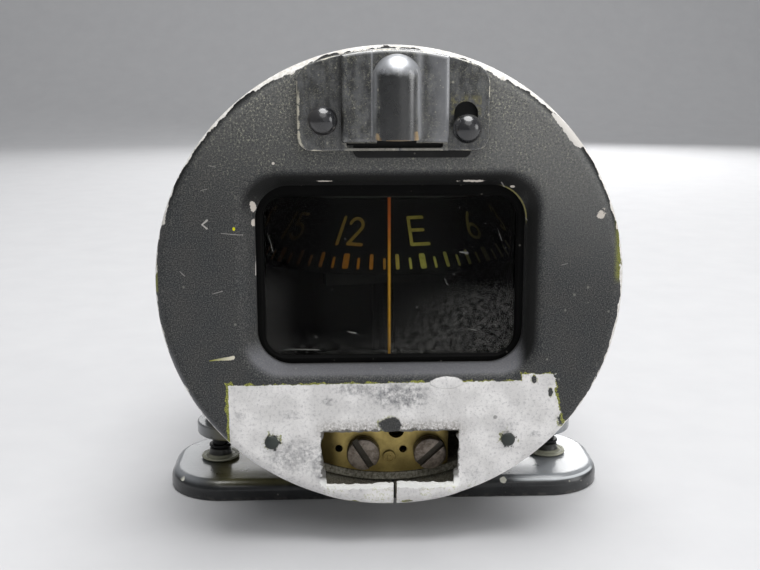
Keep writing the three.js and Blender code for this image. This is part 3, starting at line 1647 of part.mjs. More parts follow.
addPiece('card_band', makeCardBand(), cardPaint);
addPiece('card_web', makeCardWeb(), lightSheet);
addPiece('float_lower', makeFloatLower(), lightSheet);
addPiece('float_upper', makeFloatUpper(), lightSheet);
addPiece('pivot_needle', makePivotNeedle(), steel);
addPiece('magnet_carrier', makeMagnetCarrier(), brass);
addPiece('card_magnet_left', makeCardMagnet(-1), steel);
addPiece('card_magnet_right', makeCardMagnet(1), steel);
addPiece('jewel_post', makeJewelPost(), brass);
addPiece('jewel_cup', makeJewelCup(), brass);
addPiece('jewel_stone', makeJewelStone(), jewel);
addPiece('jewel_spring', makeJewelSpring(), steel);

addPiece('compensator_front_plate', makeCompensatorFrontPlate(), brass);
addPiece('compensator_rear_plate', makeCompensatorPlate(compRearFront, compRearBack, shaftRadius), brass);
addPiece('compensator_pillar_lower', makePillar(lowerPillarX, lowerPillarDrop), brass);
addPiece('compensator_pillar_upper', makePillar(upperPillarX, upperPillarDrop), brass);
addPiece('ns_adjusting_shaft', makeAdjustingShaft(nsX, nsSlotAngle), brass);
addPiece('ew_adjusting_shaft', makeAdjustingShaft(ewX, ewSlotAngle), brass);
addPiece('ns_counter_shaft', makeCounterShaft(nsX), brass);
addPiece('ew_counter_shaft', makeCounterShaft(ewX), brass);
addPiece('ns_magnet', makeCompensatorMagnet(nsX, down(shaftDrop), compMagnetFront), steel);
addPiece('ew_magnet', makeCompensatorMagnet(ewX, down(shaftDrop), compMagnetFront), steel);
addPiece('ns_counter_magnet', makeCompensatorMagnet(nsX, down(counterDrop), counterMagnetFront), steel);
addPiece('ew_counter_magnet', makeCompensatorMagnet(ewX, down(counterDrop), counterMagnetFront), steel);

addPiece('stud_left', makeStud(studLeftX, studLeftZ), hoodPaint);
addPiece('stud_right', makeStud(studRightX, studRightZ), hoodPaint);
addPiece('lamp_plate', makeLampPlate(), hoodPaint);
addPiece('lamp_hood', makeLampHood(), hoodPaint);
addPiece('lamp_bulb', makeLampBulb(), clearGlass);
addPiece('lamp_socket', makeLampSocket(), brass);

addPiece('rear_gasket', makeRearGasket(), rubber);
addPiece('diaphragm', makeDiaphragm(), bright);
addPiece('rear_cover', makeRearCover(), castMetal);
rearScrewPlaces().forEach((place, i) => {
  addPiece(`rear_cover_screw_${i + 1}`, makeRearScrew(place), steel);
});
addPiece('filler_washer', makeFillerWasher(), rubber);
addPiece('filler_plug', makeFillerPlug(), brass);

addPiece('mounting_plate', makeMountingPlate(), footPaint);
addPiece('mounting_plate_screw_left', makePlateScrew(-plateScrewX), steel);
addPiece('mounting_plate_screw_right', makePlateScrew(plateScrewX), steel);
addPiece('shock_grommet_left', makeShockGrommet(-mountX), rubber);
addPiece('shock_grommet_right', makeShockGrommet(mountX), rubber);
addPiece('shock_mount_screw_left', makeMountScrew(-mountX), steel);
addPiece('shock_mount_screw_right', makeMountScrew(mountX), steel);
addPiece('base', makeBase(), footPaint);

export default assembly;
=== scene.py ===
import math
import random

import bmesh
import bpy
from mathutils import Matrix, Vector


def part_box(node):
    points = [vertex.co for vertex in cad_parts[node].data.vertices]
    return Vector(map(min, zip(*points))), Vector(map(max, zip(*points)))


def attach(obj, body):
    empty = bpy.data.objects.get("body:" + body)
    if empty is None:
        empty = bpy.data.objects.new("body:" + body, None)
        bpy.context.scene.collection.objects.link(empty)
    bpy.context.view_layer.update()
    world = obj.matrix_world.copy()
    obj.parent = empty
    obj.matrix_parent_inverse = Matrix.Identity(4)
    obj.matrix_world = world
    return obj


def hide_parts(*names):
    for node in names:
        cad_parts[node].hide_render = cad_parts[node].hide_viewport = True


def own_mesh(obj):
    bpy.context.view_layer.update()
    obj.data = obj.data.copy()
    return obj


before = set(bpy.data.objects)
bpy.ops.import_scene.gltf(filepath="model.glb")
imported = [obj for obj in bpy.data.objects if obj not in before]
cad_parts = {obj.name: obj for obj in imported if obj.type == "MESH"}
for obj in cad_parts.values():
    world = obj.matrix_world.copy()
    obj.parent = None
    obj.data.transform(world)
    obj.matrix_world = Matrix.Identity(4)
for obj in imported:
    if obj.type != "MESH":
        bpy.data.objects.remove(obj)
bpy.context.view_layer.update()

# Everything is drawn in millimetres in the face frame: x right, y back from the
# cover's front face, z up from its centre. IN_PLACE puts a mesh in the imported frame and
# IN_FACE takes one back.
low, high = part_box("front_cover")
FACE = Vector(((low.x + high.x) / 2, low.y, (low.z + high.z) / 2))
IN_PLACE = Matrix.Translation(FACE) @ Matrix.Scale(0.001, 4)
IN_FACE = IN_PLACE.inverted()


# ---------------------------------------------------------------- sizes in mm
COVER_RADIUS = 43.0
COVER_SHEET = 1.2
COVER_DEPTH = 11.5
COVER_ROUND = 2.3
WINDOW = dict(half_x=24.8, half_z=16.85, z=1.25, corner=6.4)
BEVEL = dict(side=3.6, top=3.9, bottom=2.4, corner=7.0, depth=3.0, power=1.7)
STUDS = ((-12.1, 30.1), (13.0, 28.7))
RIVETS = ((-22.4, -29.7), (22.0, -29.7))
RIVET_HOLE = 1.1
WINDOW_Z = 0.8
FRAME_SCREWS = [(side * 27.6, WINDOW_Z + up * 19.1) for up in (1, -1) for side in (-1, 1)]
HOOD_RIM = 42.3
LAMP_X = 0.75
CARD_Y = 44.9
FOOT_Y = 37.0
BARREL_Z = 2.0
CASE_FRONT = 10.8
CASE_BACK = 81.5
REAR_SCREW_RADIUS = 24.5
REAR_SCREW_HOLE = 1.4
REAR_SCREWS = [
    (a * REAR_SCREW_RADIUS * math.sqrt(0.5), BARREL_Z + b * REAR_SCREW_RADIUS * math.sqrt(0.5))
    for a, b in ((-1, 1), (1, 1), (-1, -1), (1, -1))
]
FILLER_Y = 66
MOUNT_X = 36.4
PLATE_SCREW_X = 9
BASE_TOP = -46.3
BASE_BOTTOM = -50.5


# ------------------------------------------------------------------- shapes
def arc(x, y, radius, start, end, steps):
    turns = [math.radians(start + (end - start) * i / steps) for i in range(steps + 1)]
    return [(x + radius * math.cos(a), y + radius * math.sin(a)) for a in turns]


def rounded(left, right, bottom, top, corner, steps=10):
    return (
        arc(right - corner, top - corner, corner, 0, 90, steps)
        + arc(left + corner, top - corner, corner, 90, 180, steps)
        + arc(left + corner, bottom + corner, corner, 180, 270, steps)
        + arc(right - corner, bottom + corner, corner, 270, 360, steps)
    )


def centred(half_x, half_z, z, corner, steps=10):
    return lambda inset: rounded(
        inset - half_x, half_x - inset, z - half_z + inset, z + half_z - inset, max(corner - inset, 0.05), steps
    )


def rim_outline(left, right, bottom, corner, radius, steps=10, shoulder=0.05):
    """A plate with rounded corners whose upper edge follows the cover's rim."""

    def outline(inset):
        reach, l, r, b = radius - inset, left + inset, right - inset, bottom + inset
        c, s = max(corner - inset, 0.05), max(shoulder - inset, 0.05)
        right_up = math.sqrt((reach - s) ** 2 - (r - s) ** 2)
        left_up = math.sqrt((reach - s) ** 2 - (l + s) ** 2)
        start = math.degrees(math.atan2(right_up, r - s))
        end = math.degrees(math.atan2(left_up, l + s))
        return (
            arc(r - s, right_up, s, 0, start, steps)
            + arc(0, 0, reach, start, end, 4 * steps)[1:-1]
            + arc(l + s, left_up, s, end, 180, steps)
            + arc(l + c, b + c, c, 180, 270, steps)
            + arc(r - c, b + c, c, 270, 360, steps)
        )

    return outline


def shown(name, data):
    obj = bpy.data.objects.new(name, data)
    bpy.context.scene.collection.objects.link(obj)
    return obj


def welded(mesh, distance):
    """Joins the points of a mesh that lie together and turns its faces outward."""
    bm = bmesh.new()
    bm.from_mesh(mesh)
    bmesh.ops.remove_doubles(bm, verts=bm.verts, dist=distance)
    bmesh.ops.recalc_face_normals(bm, faces=bm.faces)
    bm.to_mesh(mesh)
    bm.free()
    return mesh


def plain_mesh(name, verts, faces):
    mesh = bpy.data.meshes.new(name)
    mesh.from_pydata(verts, [], faces)
    return mesh


def new_object(verts, faces):
    return shown("shape", welded(plain_mesh("shape", verts, faces), 1e-5))


def turned(profile, steps=64, axis="y", x=0.0, y=0.0, z=0.0):
    """A profile of (radius, along) turned about the y or the z direction through a point."""
    verts, rings, faces = [], [], []
    for radius, along in profile:
        count = steps if radius > 1e-6 else 1
        rings.append(range(len(verts), len(verts) + count))
        for i in range(count):
            a = 2 * math.pi * i / steps
            u, v = radius * math.cos(a), radius * math.sin(a)
            verts.append((x + u, y + along, z + v) if axis == "y" else (x + u, y + v, z + along))
    closed = profile[0][0] > 1e-6 and profile[-1][0] > 1e-6
    for a, b in zip(rings, list(rings[1:]) + ([rings[0]] if closed else [])):
        for i in range(steps):
            j = (i + 1) % steps
            if len(a) > 1 and len(b) > 1:
                faces.append((a[i], a[j], b[j], b[i]))
            elif len(b) > 1:
                faces.append((a[0], b[j], b[i]))
            elif len(a) > 1:
                faces.append((a[i], a[j], b[0]))
    return new_object(verts, faces)


def rod(radius, start, end, axis="y", x=0.0, y=0.0, z=0.0, steps=48):
    return turned([(0, start), (radius, start), (radius, end), (0, end)], steps, axis, x, y, z)


def rods(places, radius, start, end, steps):
    """Rods along y at places in x and z."""
    return [rod(radius, start, end, x=x, z=z, steps=steps) for x, z in places]


def lofted(sections):
    """A closed solid through outlines of equal count."""
    count = len(sections[0])
    verts = [p for section in sections for p in section]
    faces = [tuple(range(count - 1, -1, -1)), tuple(range(len(verts) - count, len(verts)))]
    for s in range(len(sections) - 1):
        for i in range(count):
            j = (i + 1) % count
            a, b = s * count, (s + 1) * count
            faces.append((a + i, a + j, b + j, b + i))
    return new_object(verts, faces)


def slab(outline, start, end, edges=(0.2, 0.2), along="y", steps=3):
    """outline(inset) carried from start to end, with rounded edges at both."""
    layers = []
    for edge, face, towards in ((edges[0], start, 1), (edges[1], end, -1)):
        part = []
        for i in range(steps + 1) if edge else [steps]:
            a = math.pi / 2 * i / steps
            part.append((edge * (1 - math.sin(a)), face + towards * edge * (1 - math.cos(a))))
        layers += part if towards == 1 else part[::-1]
    put = (lambda p, t: (p[0], t, p[1])) if along == "y" else (lambda p, t: (p[0], p[1], t))
    return lofted([[put(p, t) for p in outline(inset)] for inset, t in layers])


def block(left, right, front, back, bottom, top):
    return lofted(
        [[(x, y, z) for x, y in ((left, front), (right, front), (right, back), (left, back))] for z in (bottom, top)]
    )


def baked(obj):
    """Applies the object's modifiers to its mesh."""
    evaluated = obj.evaluated_get(bpy.context.evaluated_depsgraph_get())
    mesh = bpy.data.meshes.new_from_object(evaluated)
    obj.modifiers.clear()
    obj.data = mesh
    return obj


def combined(obj, tools, operation):
    for tool in tools:
        step = obj.modifiers.new(operation, "BOOLEAN")
        step.operation, step.solver, step.object = operation, "EXACT", tool
        tool.hide_render = True
    baked(obj)
    for tool in tools:
        bpy.data.objects.remove(tool)
    return obj


def cut(obj, *tools):
    return combined(obj, tools, "DIFFERENCE")


def join(obj, *tools):
    return combined(obj, tools, "UNION")


def common(obj, *tools):
    return combined(obj, tools, "INTERSECT")


def softened(obj, width=0.3, segments=2, angle=40):
    step = obj.modifiers.new("edges", "BEVEL")
    step.width, step.segments, step.limit_method = width, segments, "ANGLE"
    step.angle_limit = math.radians(angle)
    return baked(obj)


def moved(obj, change):
    """Moves each point of a mesh: change(point) gives the new one."""
    for vert in obj.data.vertices:
        vert.co = change(vert.co.copy())
    return obj


def piece(obj, name, material, slot, *nodes, body="case", sharp=35):
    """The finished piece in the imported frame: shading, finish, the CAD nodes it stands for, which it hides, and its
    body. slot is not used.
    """
    obj.name = obj.data.name = name
    obj.data.transform(IN_PLACE)
    obj.data.materials.clear()
    obj.data.materials.append(material)
    obj.data.shade_smooth()
    obj.data.set_sharp_from_angle(angle=math.radians(sharp))
    step = obj.modifiers.new("normals", "WEIGHTED_NORMAL")
    step.keep_sharp = True
    baked(obj)
    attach(obj, body)
    if nodes:
        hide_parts(*nodes)
    return obj


# ---------------------------------------------------------------- materials
NUMBER = "NodeSocketFloat"


class Value:
    """A node's output that takes plain arithmetic: each sign adds a Math node."""

    def __init__(self, maker, socket):
        self.maker, self.socket = maker, socket

    def __abs__(self):
        return self.maker.math("ABSOLUTE", self)


def arithmetic(operation, swapped):
    def apply(value, other):
        return value.maker.math(operation, *((other, value) if swapped else (value, other)))

    return apply


for sign, operation in (("add", "ADD"), ("sub", "SUBTRACT"), ("mul", "MULTIPLY"), ("truediv", "DIVIDE")):
    setattr(Value, f"__{sign}__", arithmetic(operation, False))
    setattr(Value, f"__r{sign}__", arithmetic(operation, True))


class Nodes:
    """A node tree, with short calls for the nodes that the finishes and the repeats use."""

    def __init__(self, tree):
        self.tree = tree

    def node(self, kind, values=None, **settings):
        """A new node's outputs, by name and by number."""
        made = self.tree.nodes.new(kind)
        for key, value in settings.items():
            setattr(made, key, value)
        for key, value in (values or {}).items():
            self.feed(made.inputs[key], value)
        return self.values(made)

    def values(self, made):
        outputs = [Value(self, socket) for socket in made.outputs]
        return {**{value.socket.name: value for value in outputs}, **dict(enumerate(outputs))}

    def feed(self, socket, value):
        if isinstance(value, Value):
            self.tree.links.new(value.socket, socket)
        elif isinstance(value, tuple) and len(value) == 3 and socket.type == "RGBA":
            socket.default_value = (*value, 1)
        else:
            socket.default_value = value

    def math(self, operation, a, b=0.0, clamp=False):
        return self.node("ShaderNodeMath", {0: a, 1: b}, operation=operation, use_clamp=clamp)[0]

    def mix(self, amount, a, b):
        return self.node("ShaderNodeMix", {0: amount, 6: a, 7: b}, data_type="RGBA")[2]

    def over(self, colour, *coats):
        """Lays coats on a colour. Each is a mask and then a colour, or its three numbers from 0 to 255."""
        for mask, *tone in coats:
            colour = self.mix(mask, colour, srgb(*tone) if len(tone) == 3 else tone[0])
        return colour

    def between(self, value, start, end, low=0.0, high=1.0):
        """low up to start, high from end on, and a soft step between them."""
        values = {"Value": value, "From Min": start, "From Max": end, "To Min": low, "To Max": high}
        return self.node("ShaderNodeMapRange", values, interpolation_type="SMOOTHSTEP")[0]

    def moved(self, by=(0, 0, 0), scale=(1, 1, 1)):
        return self.node("ShaderNodeMapping", {"Vector": self.place, "Location": by, "Scale": scale})[0]

    def split(self, vector):
        parts = self.node("ShaderNodeSeparateXYZ", {0: vector})
        return parts[0], parts[1], parts[2]

    def axes(self):
        return self.split(self.place)

    def noise(self, scale, detail, rough, distortion=0.0, place=None):
        values = {"Vector": place or self.place, "Scale": scale, "Detail": detail, "Roughness": rough}
        return self.node("ShaderNodeTexNoise", {**values, "Distortion": distortion})[0]

    def reach(self, x, z):
        """How far a point is from the y axis."""
        return self.math("SQRT", x * x + z * z)

    def inside(self, *distances, ragged=0.0, soft=0.05):
        """1 where every distance is negative."""
        return self.between(self.either(*distances) + ragged, -soft, soft, 1.0, 0.0)

    def either(self, *masks):
        most = masks[0]
        for other in masks[1:]:
            most = self.math("MAXIMUM", most, other)
        return most

    def bump(self, height, strength, distance=0.0001):
        return self.node("ShaderNodeBump", {"Height": height, "Strength": strength, "Distance": distance})[0]

    def gloss(self, peel, low, high):
        """A roughness that follows the slow tone of a paint's grain."""
        return self.between(peel["Tone"], 0.3, 0.7, low, high)

    def group(self, kind, **values):
        spaced = {key.replace("_", " "): value for key, value in values.items()}
        return self.node("ShaderNodeGroup", spaced, node_tree=kind)

    # The shared effects
    def grain(self, size, tone_size):
        return self.group(paint_grain, Place=self.place, Size=size, Tone_size=tone_size)

    def specks(self, spacing, radius, amount, place=None):
        place = place or self.place
        return self.group(dust_specks, Place=place, Spacing=spacing, Radius=radius, Amount=amount)["Mask"]

    def flake(self, wobble, *sizes):
        """sizes: x, z, width, height, ragged and, where it isn't 0.1, soft."""
        sizes = dict(zip(("X", "Z", "Width", "Height", "Ragged", "Soft"), sizes))
        return self.group(ragged_flake, Place=self.place, Wobble=wobble, **sizes)["Mask"]

    def scratch(self, wobble, *sizes):
        """sizes: start x, start z, end x, end z, width and, where it isn't 0.7, taper."""
        sizes = dict(zip(("Start_x", "Start_z", "End_x", "End_z", "Width", "Taper"), sizes))
        return self.group(thin_scratch, Place=self.place, Wobble=wobble, **sizes)

    def off_box(self, half_width, half_height, corner, x, z):
        sizes = dict(Half_width=half_width, Half_height=half_height, Corner=corner, Centre_x=x, Centre_z=z)
        return self.group(box_distance, Place=self.place, **sizes)["Distance"]


class Finish(Nodes):
    """A material. Its place is the object coordinates as millimetres in the face frame."""

    def __init__(self, name):
        self.material = bpy.data.materials.new(name)
        self.material.use_nodes = True
        super().__init__(self.material.node_tree)
        self.shader = self.tree.nodes["Principled BSDF"]
        values = {"Vector": self.node("ShaderNodeTexCoord")["Object"], "Location": FACE, "Scale": (0.001,) * 3}
        self.place = self.node("ShaderNodeMapping", values, vector_type="TEXTURE")[0]

    def set(self, **values):
        """Feeds the shader's own sockets by name and returns the material."""
        for key, value in values.items():
            self.feed(self.shader.inputs[key.replace("_", " ")], value)
        return self.material


def shader_group(name, outputs, **inputs):
    """An empty node group that takes a place and named numbers: its nodes, what it takes and what it gives."""
    tree = bpy.data.node_groups.new(name, "ShaderNodeTree")
    tree.interface.new_socket("Place", in_out="INPUT", socket_type="NodeSocketVector")
    for label, value in inputs.items():
        socket = tree.interface.new_socket(label.replace("_", " "), in_out="INPUT", socket_type=NUMBER)
        socket.default_value = value
    for label in outputs:
        tree.interface.new_socket(label, in_out="OUTPUT", socket_type=NUMBER)
    g = Nodes(tree)
    entry = g.node("NodeGroupInput")
    g.place = entry["Place"]
    return g, entry, tree.nodes.new("NodeGroupOutput").inputs


def srgb(r, g, b):
    """A colour as it is seen, 0 to 255, as linear values."""
    return tuple((c / 255 / 12.92) if c <= 10.3 else ((c / 255 + 0.055) / 1.055) ** 2.4 for c in (r, g, b))


def make_grain():
    """Fine orange-peel and dust grain of sprayed paint: a height and a slow tone."""
    g, entry, ends = shader_group("paint grain", ("Height", "Tone"), Size=4.0, Tone_size=0.15)
    coarse = g.noise(entry["Size"] * 0.3, 2, 0.5)
    g.feed(ends["Height"], coarse * 0.5 + g.noise(entry["Size"], 4, 0.65))
    g.feed(ends["Tone"], g.noise(entry["Tone size"], 5, 0.6))
    return g.tree


def make_specks():
    """Scattered dust specks: a mask."""
    g, entry, ends = shader_group("dust specks", ("Mask",), Spacing=0.4, Radius=0.09, Amount=0.5)
    cells = g.node("ShaderNodeTexVoronoi", {"Vector": g.place, "Scale": entry["Spacing"]})
    chance, share, _ = g.split(cells["Color"])
    dot = g.inside(cells["Distance"] - entry["Radius"] * (share * 1.2 + 0.4), soft=0.04)
    g.feed(ends["Mask"], dot * g.math("LESS_THAN", chance, entry["Amount"]))
    return g.tree


def make_box_distance():
    """How far a point is outside a rounded rectangle in x and z; negative inside."""
    sizes = dict(Half_width=10.0, Half_height=10.0, Corner=1.0, Centre_x=0.0, Centre_z=0.0)
    g, entry, ends = shader_group("rounded box distance", ("Distance",), **sizes)
    x, _, z = g.axes()
    wide = abs(x - entry["Centre x"]) - entry["Half width"] + entry["Corner"]
    tall = abs(z - entry["Centre z"]) - entry["Half height"] + entry["Corner"]
    outside = g.reach(g.either(wide, 0.0), g.either(tall, 0.0))
    inside = g.math("MINIMUM", g.either(wide, tall), 0.0)
    g.feed(ends["Distance"], outside + inside - entry["Corner"])
    return g.tree


def make_flake():
    """A ragged oval flake in x and z: a mask."""
    sizes = dict(Wobble=0.5, X=0.0, Z=0.0, Width=1.0, Height=1.0, Ragged=0.8, Soft=0.1)
    g, entry, ends = shader_group("ragged flake", ("Mask",), **sizes)
    x, _, z = g.axes()
    across = (x - entry["X"]) / (entry["Width"] * 0.5)
    up = (z - entry["Z"]) / (entry["Height"] * 0.5)
    far = g.reach(across, up) - 1.0 + (entry["Wobble"] - 0.5) * entry["Ragged"] * 2.0
    g.feed(ends["Mask"], g.between(far, 0.0 - entry["Soft"], entry["Soft"], 1.0, 0.0))
    return g.tree


def make_scratch():
    """A scratch from a start to an end in x and z, widest at its end: a mask."""
    sizes = dict(Wobble=0.5, Start_x=0.0, Start_z=0.0, End_x=1.0, End_z=0.0, Width=0.3, Taper=0.7)
    g, entry, ends = shader_group("scratch", ("Mask", "Along"), **sizes)
    x, _, z = g.axes()
    run, rise = entry["End x"] - entry["Start x"], entry["End z"] - entry["Start z"]
    off_x, off_z = x - entry["Start x"], z - entry["Start z"]
    along = g.math("DIVIDE", off_x * run + off_z * rise, run * run + rise * rise, clamp=True)
    far = g.reach(off_x - run * along, off_z - rise * along)
    half = entry["Width"] * 0.5 * (1.0 - entry["Taper"] * (1.0 - along)) * (entry["Wobble"] * 2.4 - 0.2)
    g.feed(ends["Mask"], g.inside(far - half, soft=0.04))
    g.feed(ends["Along"], along)
    return g.tree


paint_grain = make_grain()
dust_specks = make_specks()
box_distance = make_box_distance()
ragged_flake = make_flake()
thin_scratch = make_scratch()


def plain_metal(name, colour, roughness, size=1.2, tone=0.12, metallic=1.0, painted_shade_from=None):
    """A worked metal with a slow tarnish and fine scratches. The last argument gives how far out from the middle a
    painted shadow starts.
    """
    f = Finish(name)
    marks = f.noise(size, 5, 0.7, place=f.moved(scale=(1, 6, 1)))
    tarnish = f.noise(0.25, 4, 0.6)
    dark = tuple(c * (1 - 2.5 * tone) for c in colour)
    light = tuple(min(c * (1 + tone), 1) for c in colour)
    shade = f.mix(f.between(tarnish, 0.3, 0.7), dark, light)
    # Painted shadow: darker brown from there out towards both ends
    if painted_shade_from:
        away = (tarnish - 0.5) * 3.0 + abs(f.axes()[0])
        shade = f.mix(f.between(away, painted_shade_from, painted_shade_from + 3.0, 0.0, 0.85), shade, srgb(42, 34, 18))
    return f.set(
        Base_Color=shade,
        Metallic=metallic,
        Roughness=f.between(marks, 0.2, 0.8, roughness - 0.1, roughness + 0.12),
        Normal=f.bump(marks, 0.25),
    )


# Marks on the cover's front, in mm: x, z, width, height and how ragged, or for the stains how dark
PAINT_DABS = (
    (26.7, -18.0, 0.9, 1.7, 0.7), (-0.1, -26.7, 4.4, 3.1, 0.6), (32.2, -25.9, 1.8, 2.4, 1.0),
    (29.9, -20.6, 0.8, 1.6, 1.6), (-22.4, -29.7, 2.7, 2.7, 1.6), (22.0, -29.8, 2.4, 2.7, 2.0),
    (2.9, -41.9, 1.6, 0.25, 1.2), (-7.9, -42.0, 2.4, 0.3, 1.6),
)
STAINS = (
    (1.5, -20.9, 10.4, 4.8, 0.95), (-11.6, -22.0, 2.2, 1.4, 0.8), (-28.2, -24.4, 1.8, 1.6, 0.5),
    (-18.0, -32.4, 10.0, 5.6, 0.7), (-7.0, -19.5, 6.4, 2.2, 0.75), (21.6, -27.2, 3.6, 3.4, 0.35),
    (27.2, -28.9, 1.8, 1.2, 0.6), (-18.8, -24.4, 3.6, 1.8, 0.4), (23.0, -22.4, 2.0, 1.4, 0.3),
    (-13.4, -35.2, 2.6, 5.0, 0.7), (-30.6, -28.0, 2.0, 4.0, 0.3), (15.4, -36.6, 3.4, 2.4, 0.35),
)
WHITE_FLAKES = (
    (-25.0, 14.3, 1.1, 2.0, 0.9), (-24.9, 11.4, 0.9, 1.4, 0.8), (38.1, 12.9, 1.4, 1.5, 2.4),
    (14.8, 18.9, 4.4, 0.4, 1.6), (22.1, 17.8, 0.8, 0.5, 0.8), (-22.0, -13.9, 0.7, 0.5, 0.6),
    (-21.0, 22.4, 0.5, 0.5, 0.5), (-11.8, 19.0, 2.6, 0.25, 1.2), (41.4, 10.6, 0.7, 1.2, 1.0),
)
SCRATCHES = (
    # start x, start z, end x, end z, width, taper, strength
    (-24.8, 1.7, -24.65, 5.4, 0.3, 0.2, 0.9), (-33.9, 11.5, -33.0, 12.3, 0.34, 0.3, 0.7),
    (-33.9, 11.5, -33.1, 10.8, 0.3, 0.3, 0.7), (-30.6, 9.95, -26.8, 9.5, 0.16, 0.4, 0.4),
    (-32.5, -1.2, -30.7, -0.7, 0.2, 0.5, 0.4), (-32.4, 22.1, -31.2, 21.8, 0.16, 0.4, 0.25),
    (-34.0, 17.6, -32.9, 17.9, 0.15, 0.4, 0.3), (28.9, 30.9, 33.8, 25.9, 2.3, 0.75, 1.0),
    (20.1, 18.6, 25.0, 11.6, 0.2, 0.0, 0.4), (-38.2, 3.0, -37.4, 2.2, 0.2, 0.4, 0.35),
    (31.0, 3.6, 32.2, 3.9, 0.16, 0.4, 0.3), (-22.4, -10.9, -19.0, -13.4, 0.2, 0.4, 0.35),
)


def make_cover_paint():
    """Matte dark grey paint of the cover: chips, scratches, a worn rim, a strip scraped down to the sheet, painted
    shade and highlights.
    """
    f = Finish("cover_paint")
    x, y, z = f.axes()
    peel = f.grain(5.5, 0.1)
    wobble = f.noise(0.9, 6, 0.68)
    wander = f.noise(0.2, 3, 0.5)
    grit = f.noise(4.5, 2, 0.6)
    dots = f.specks(0.45, 0.07, 0.5)
    ragged = wobble - 0.5
    reach = f.reach(x, z)
    front = f.between(y, 4.2, 3.0)

    paint = f.mix(f.between(wander, 0.35, 0.68), srgb(54, 56, 58), srgb(62, 62, 62))
    paint = f.over(
        paint,
        (f.between(grit, 0.45, 0.72), 100, 100, 96),
        (f.between(grit, 0.5, 0.28), 36, 37, 40),
        (dots * 0.45, 150, 150, 140),
    )

    # Dust, and a painted sheen: the paint grows lighter towards the upper right
    dust_and_sheen = f.between(x * 0.28 + z, 4.0, 44.0) * f.between(f.noise(2.2, 4, 0.75), 0.3, 0.62, 0.5, 1.0)
    fine = f.noise(2.7, 4, 0.75, 0.3)
    drifted = f.between(f.noise(0.24, 5, 0.7, place=f.moved(by=(7, 0, 3))), 0.34, 0.6, 0.25, 1.0)
    upper = f.between(abs(x), 44.0, 20.0, 0.35, 1.0) * f.between(z, 8.0, 34.0) * f.between(y, 0.6, 0.0) * drifted
    within = f.between(y, 1.22, 1.3) * f.inside(reach - 41.95) * f.between(z, -34.0, -37.0)
    paint = f.over(
        paint,
        (dust_and_sheen * f.between(y, 0.6, 0.0) * 0.85, 132, 132, 130),
        (upper * f.between(fine, 0.52, 0.66), 186, 184, 164),
        (upper * f.between(fine, 0.48, 0.34) * 0.9, 46, 46, 46),
        (within, f.mix(f.between(grit, 0.35, 0.65), srgb(96, 92, 78), srgb(176, 172, 156))),
    )

    # The dished edge round the window: painted shade above and at the right, a painted highlight below
    dished = f.between(y, 0.12, 1.1) * front
    painted_shade = f.either(f.between(z, 12.0, 17.5), f.between(x, 23.0, 25.5))
    brink = f.between(y, 2.68, 2.84) * f.between(y, 3.3, 3.1) * f.between(x, 19.5, 21.5) * f.between(z, 10.5, 12.5)
    brink = brink * f.between(wobble, 0.38, 0.5) * f.inside(reach - 38.0)
    painted_highlight = dished * f.between(z, -10.0, -14.5) * (1.0 - painted_shade)
    paint = f.over(
        paint,
        (dished * painted_shade * 0.96, 13, 13, 12),
        (brink * 0.8, 150, 144, 92),
        (painted_highlight * 0.5, 138, 138, 143),
    )

    # The scraped strip: how far a point is outside its top, left and right edges, or its upper right corner
    top = z - x * 0.006 + 18.45 + ragged * 1.1
    left = -30.2 - x + ragged * 0.5
    right = x - f.either(-20.4 - z, 0.0) * 0.3 - 30.7 + ragged * 1.6
    strip = f.either(top, left, right)
    corner = f.either(z + 17.0, 24.4 - x, right)
    strip = f.math("MINIMUM", strip, corner + ragged * 1.2)
    lump = f.flake(wobble, 10.3, -18.5, 6.0, 2.3, 0.25, 0.06)
    bare = f.either(f.inside(strip), lump) * front
    halo = 0.0
    for at_x, at_z, wide, tall, rough in PAINT_DABS:
        dab = f.flake(wobble, at_x, at_z, wide, tall, rough)
        ring = f.flake(wobble, at_x, at_z, wide + 0.5, tall + 0.5, rough + 0.3)
        bare = bare * (1.0 - dab)
        halo = f.either(halo, ring * (1.0 - dab))
    patchy = f.between(f.noise(0.33, 4, 0.6), 0.4, 0.62)
    width = f.between(x, -29.0, -30.0) * 0.4 + patchy * 0.45
    fringe = f.inside(strip - width) * f.between(strip, -0.5, -0.3) * front
    primer = f.mix(f.between(grit, 0.35, 0.65), srgb(82, 86, 34), srgb(176, 178, 92))
    halo = halo * patchy * front

    # Chalky bare sheet: slow clouds, grey stains, brown dirt over the opening, black pin pricks, a painted highlight
    # along the opening's lower edge
    chalk = f.mix(f.between(wander, 0.35, 0.65), srgb(222, 220, 218), srgb(242, 240, 238))
    blotch = f.noise(1.7, 6, 0.75)
    smudged = f.between(blotch, 0.42, 0.6) * 0.38 + f.between(f.noise(0.8, 3, 0.55), 0.36, 0.6, 0.0, 0.62)
    chalk = f.mix(f.between(blotch, 0.48, 0.7) * 0.7, chalk, srgb(168, 166, 167))
    for *sizes, depth in STAINS:
        chalk = f.mix(f.flake(wobble, *sizes, 0.9, 0.45) * smudged * depth, chalk, srgb(122, 122, 125))
    near = f.between(z, -24.6, -27.4) * f.between(z, -29.4, -28.4) * f.inside(abs(x) - 13.4, soft=2.0)
    grime = near * f.between(f.noise(2.0, 6, 0.75), 0.36, 0.64) * 0.8
    pricks = f.specks(0.36, 0.1, 0.16)
    brim = f.off_box(12.5, 5.1, 0.3, -0.25, -33.1)
    torn = f.inside(brim - 0.5, ragged=ragged * 2.2, soft=0.12) * f.between(z, -37.6, -36.6)
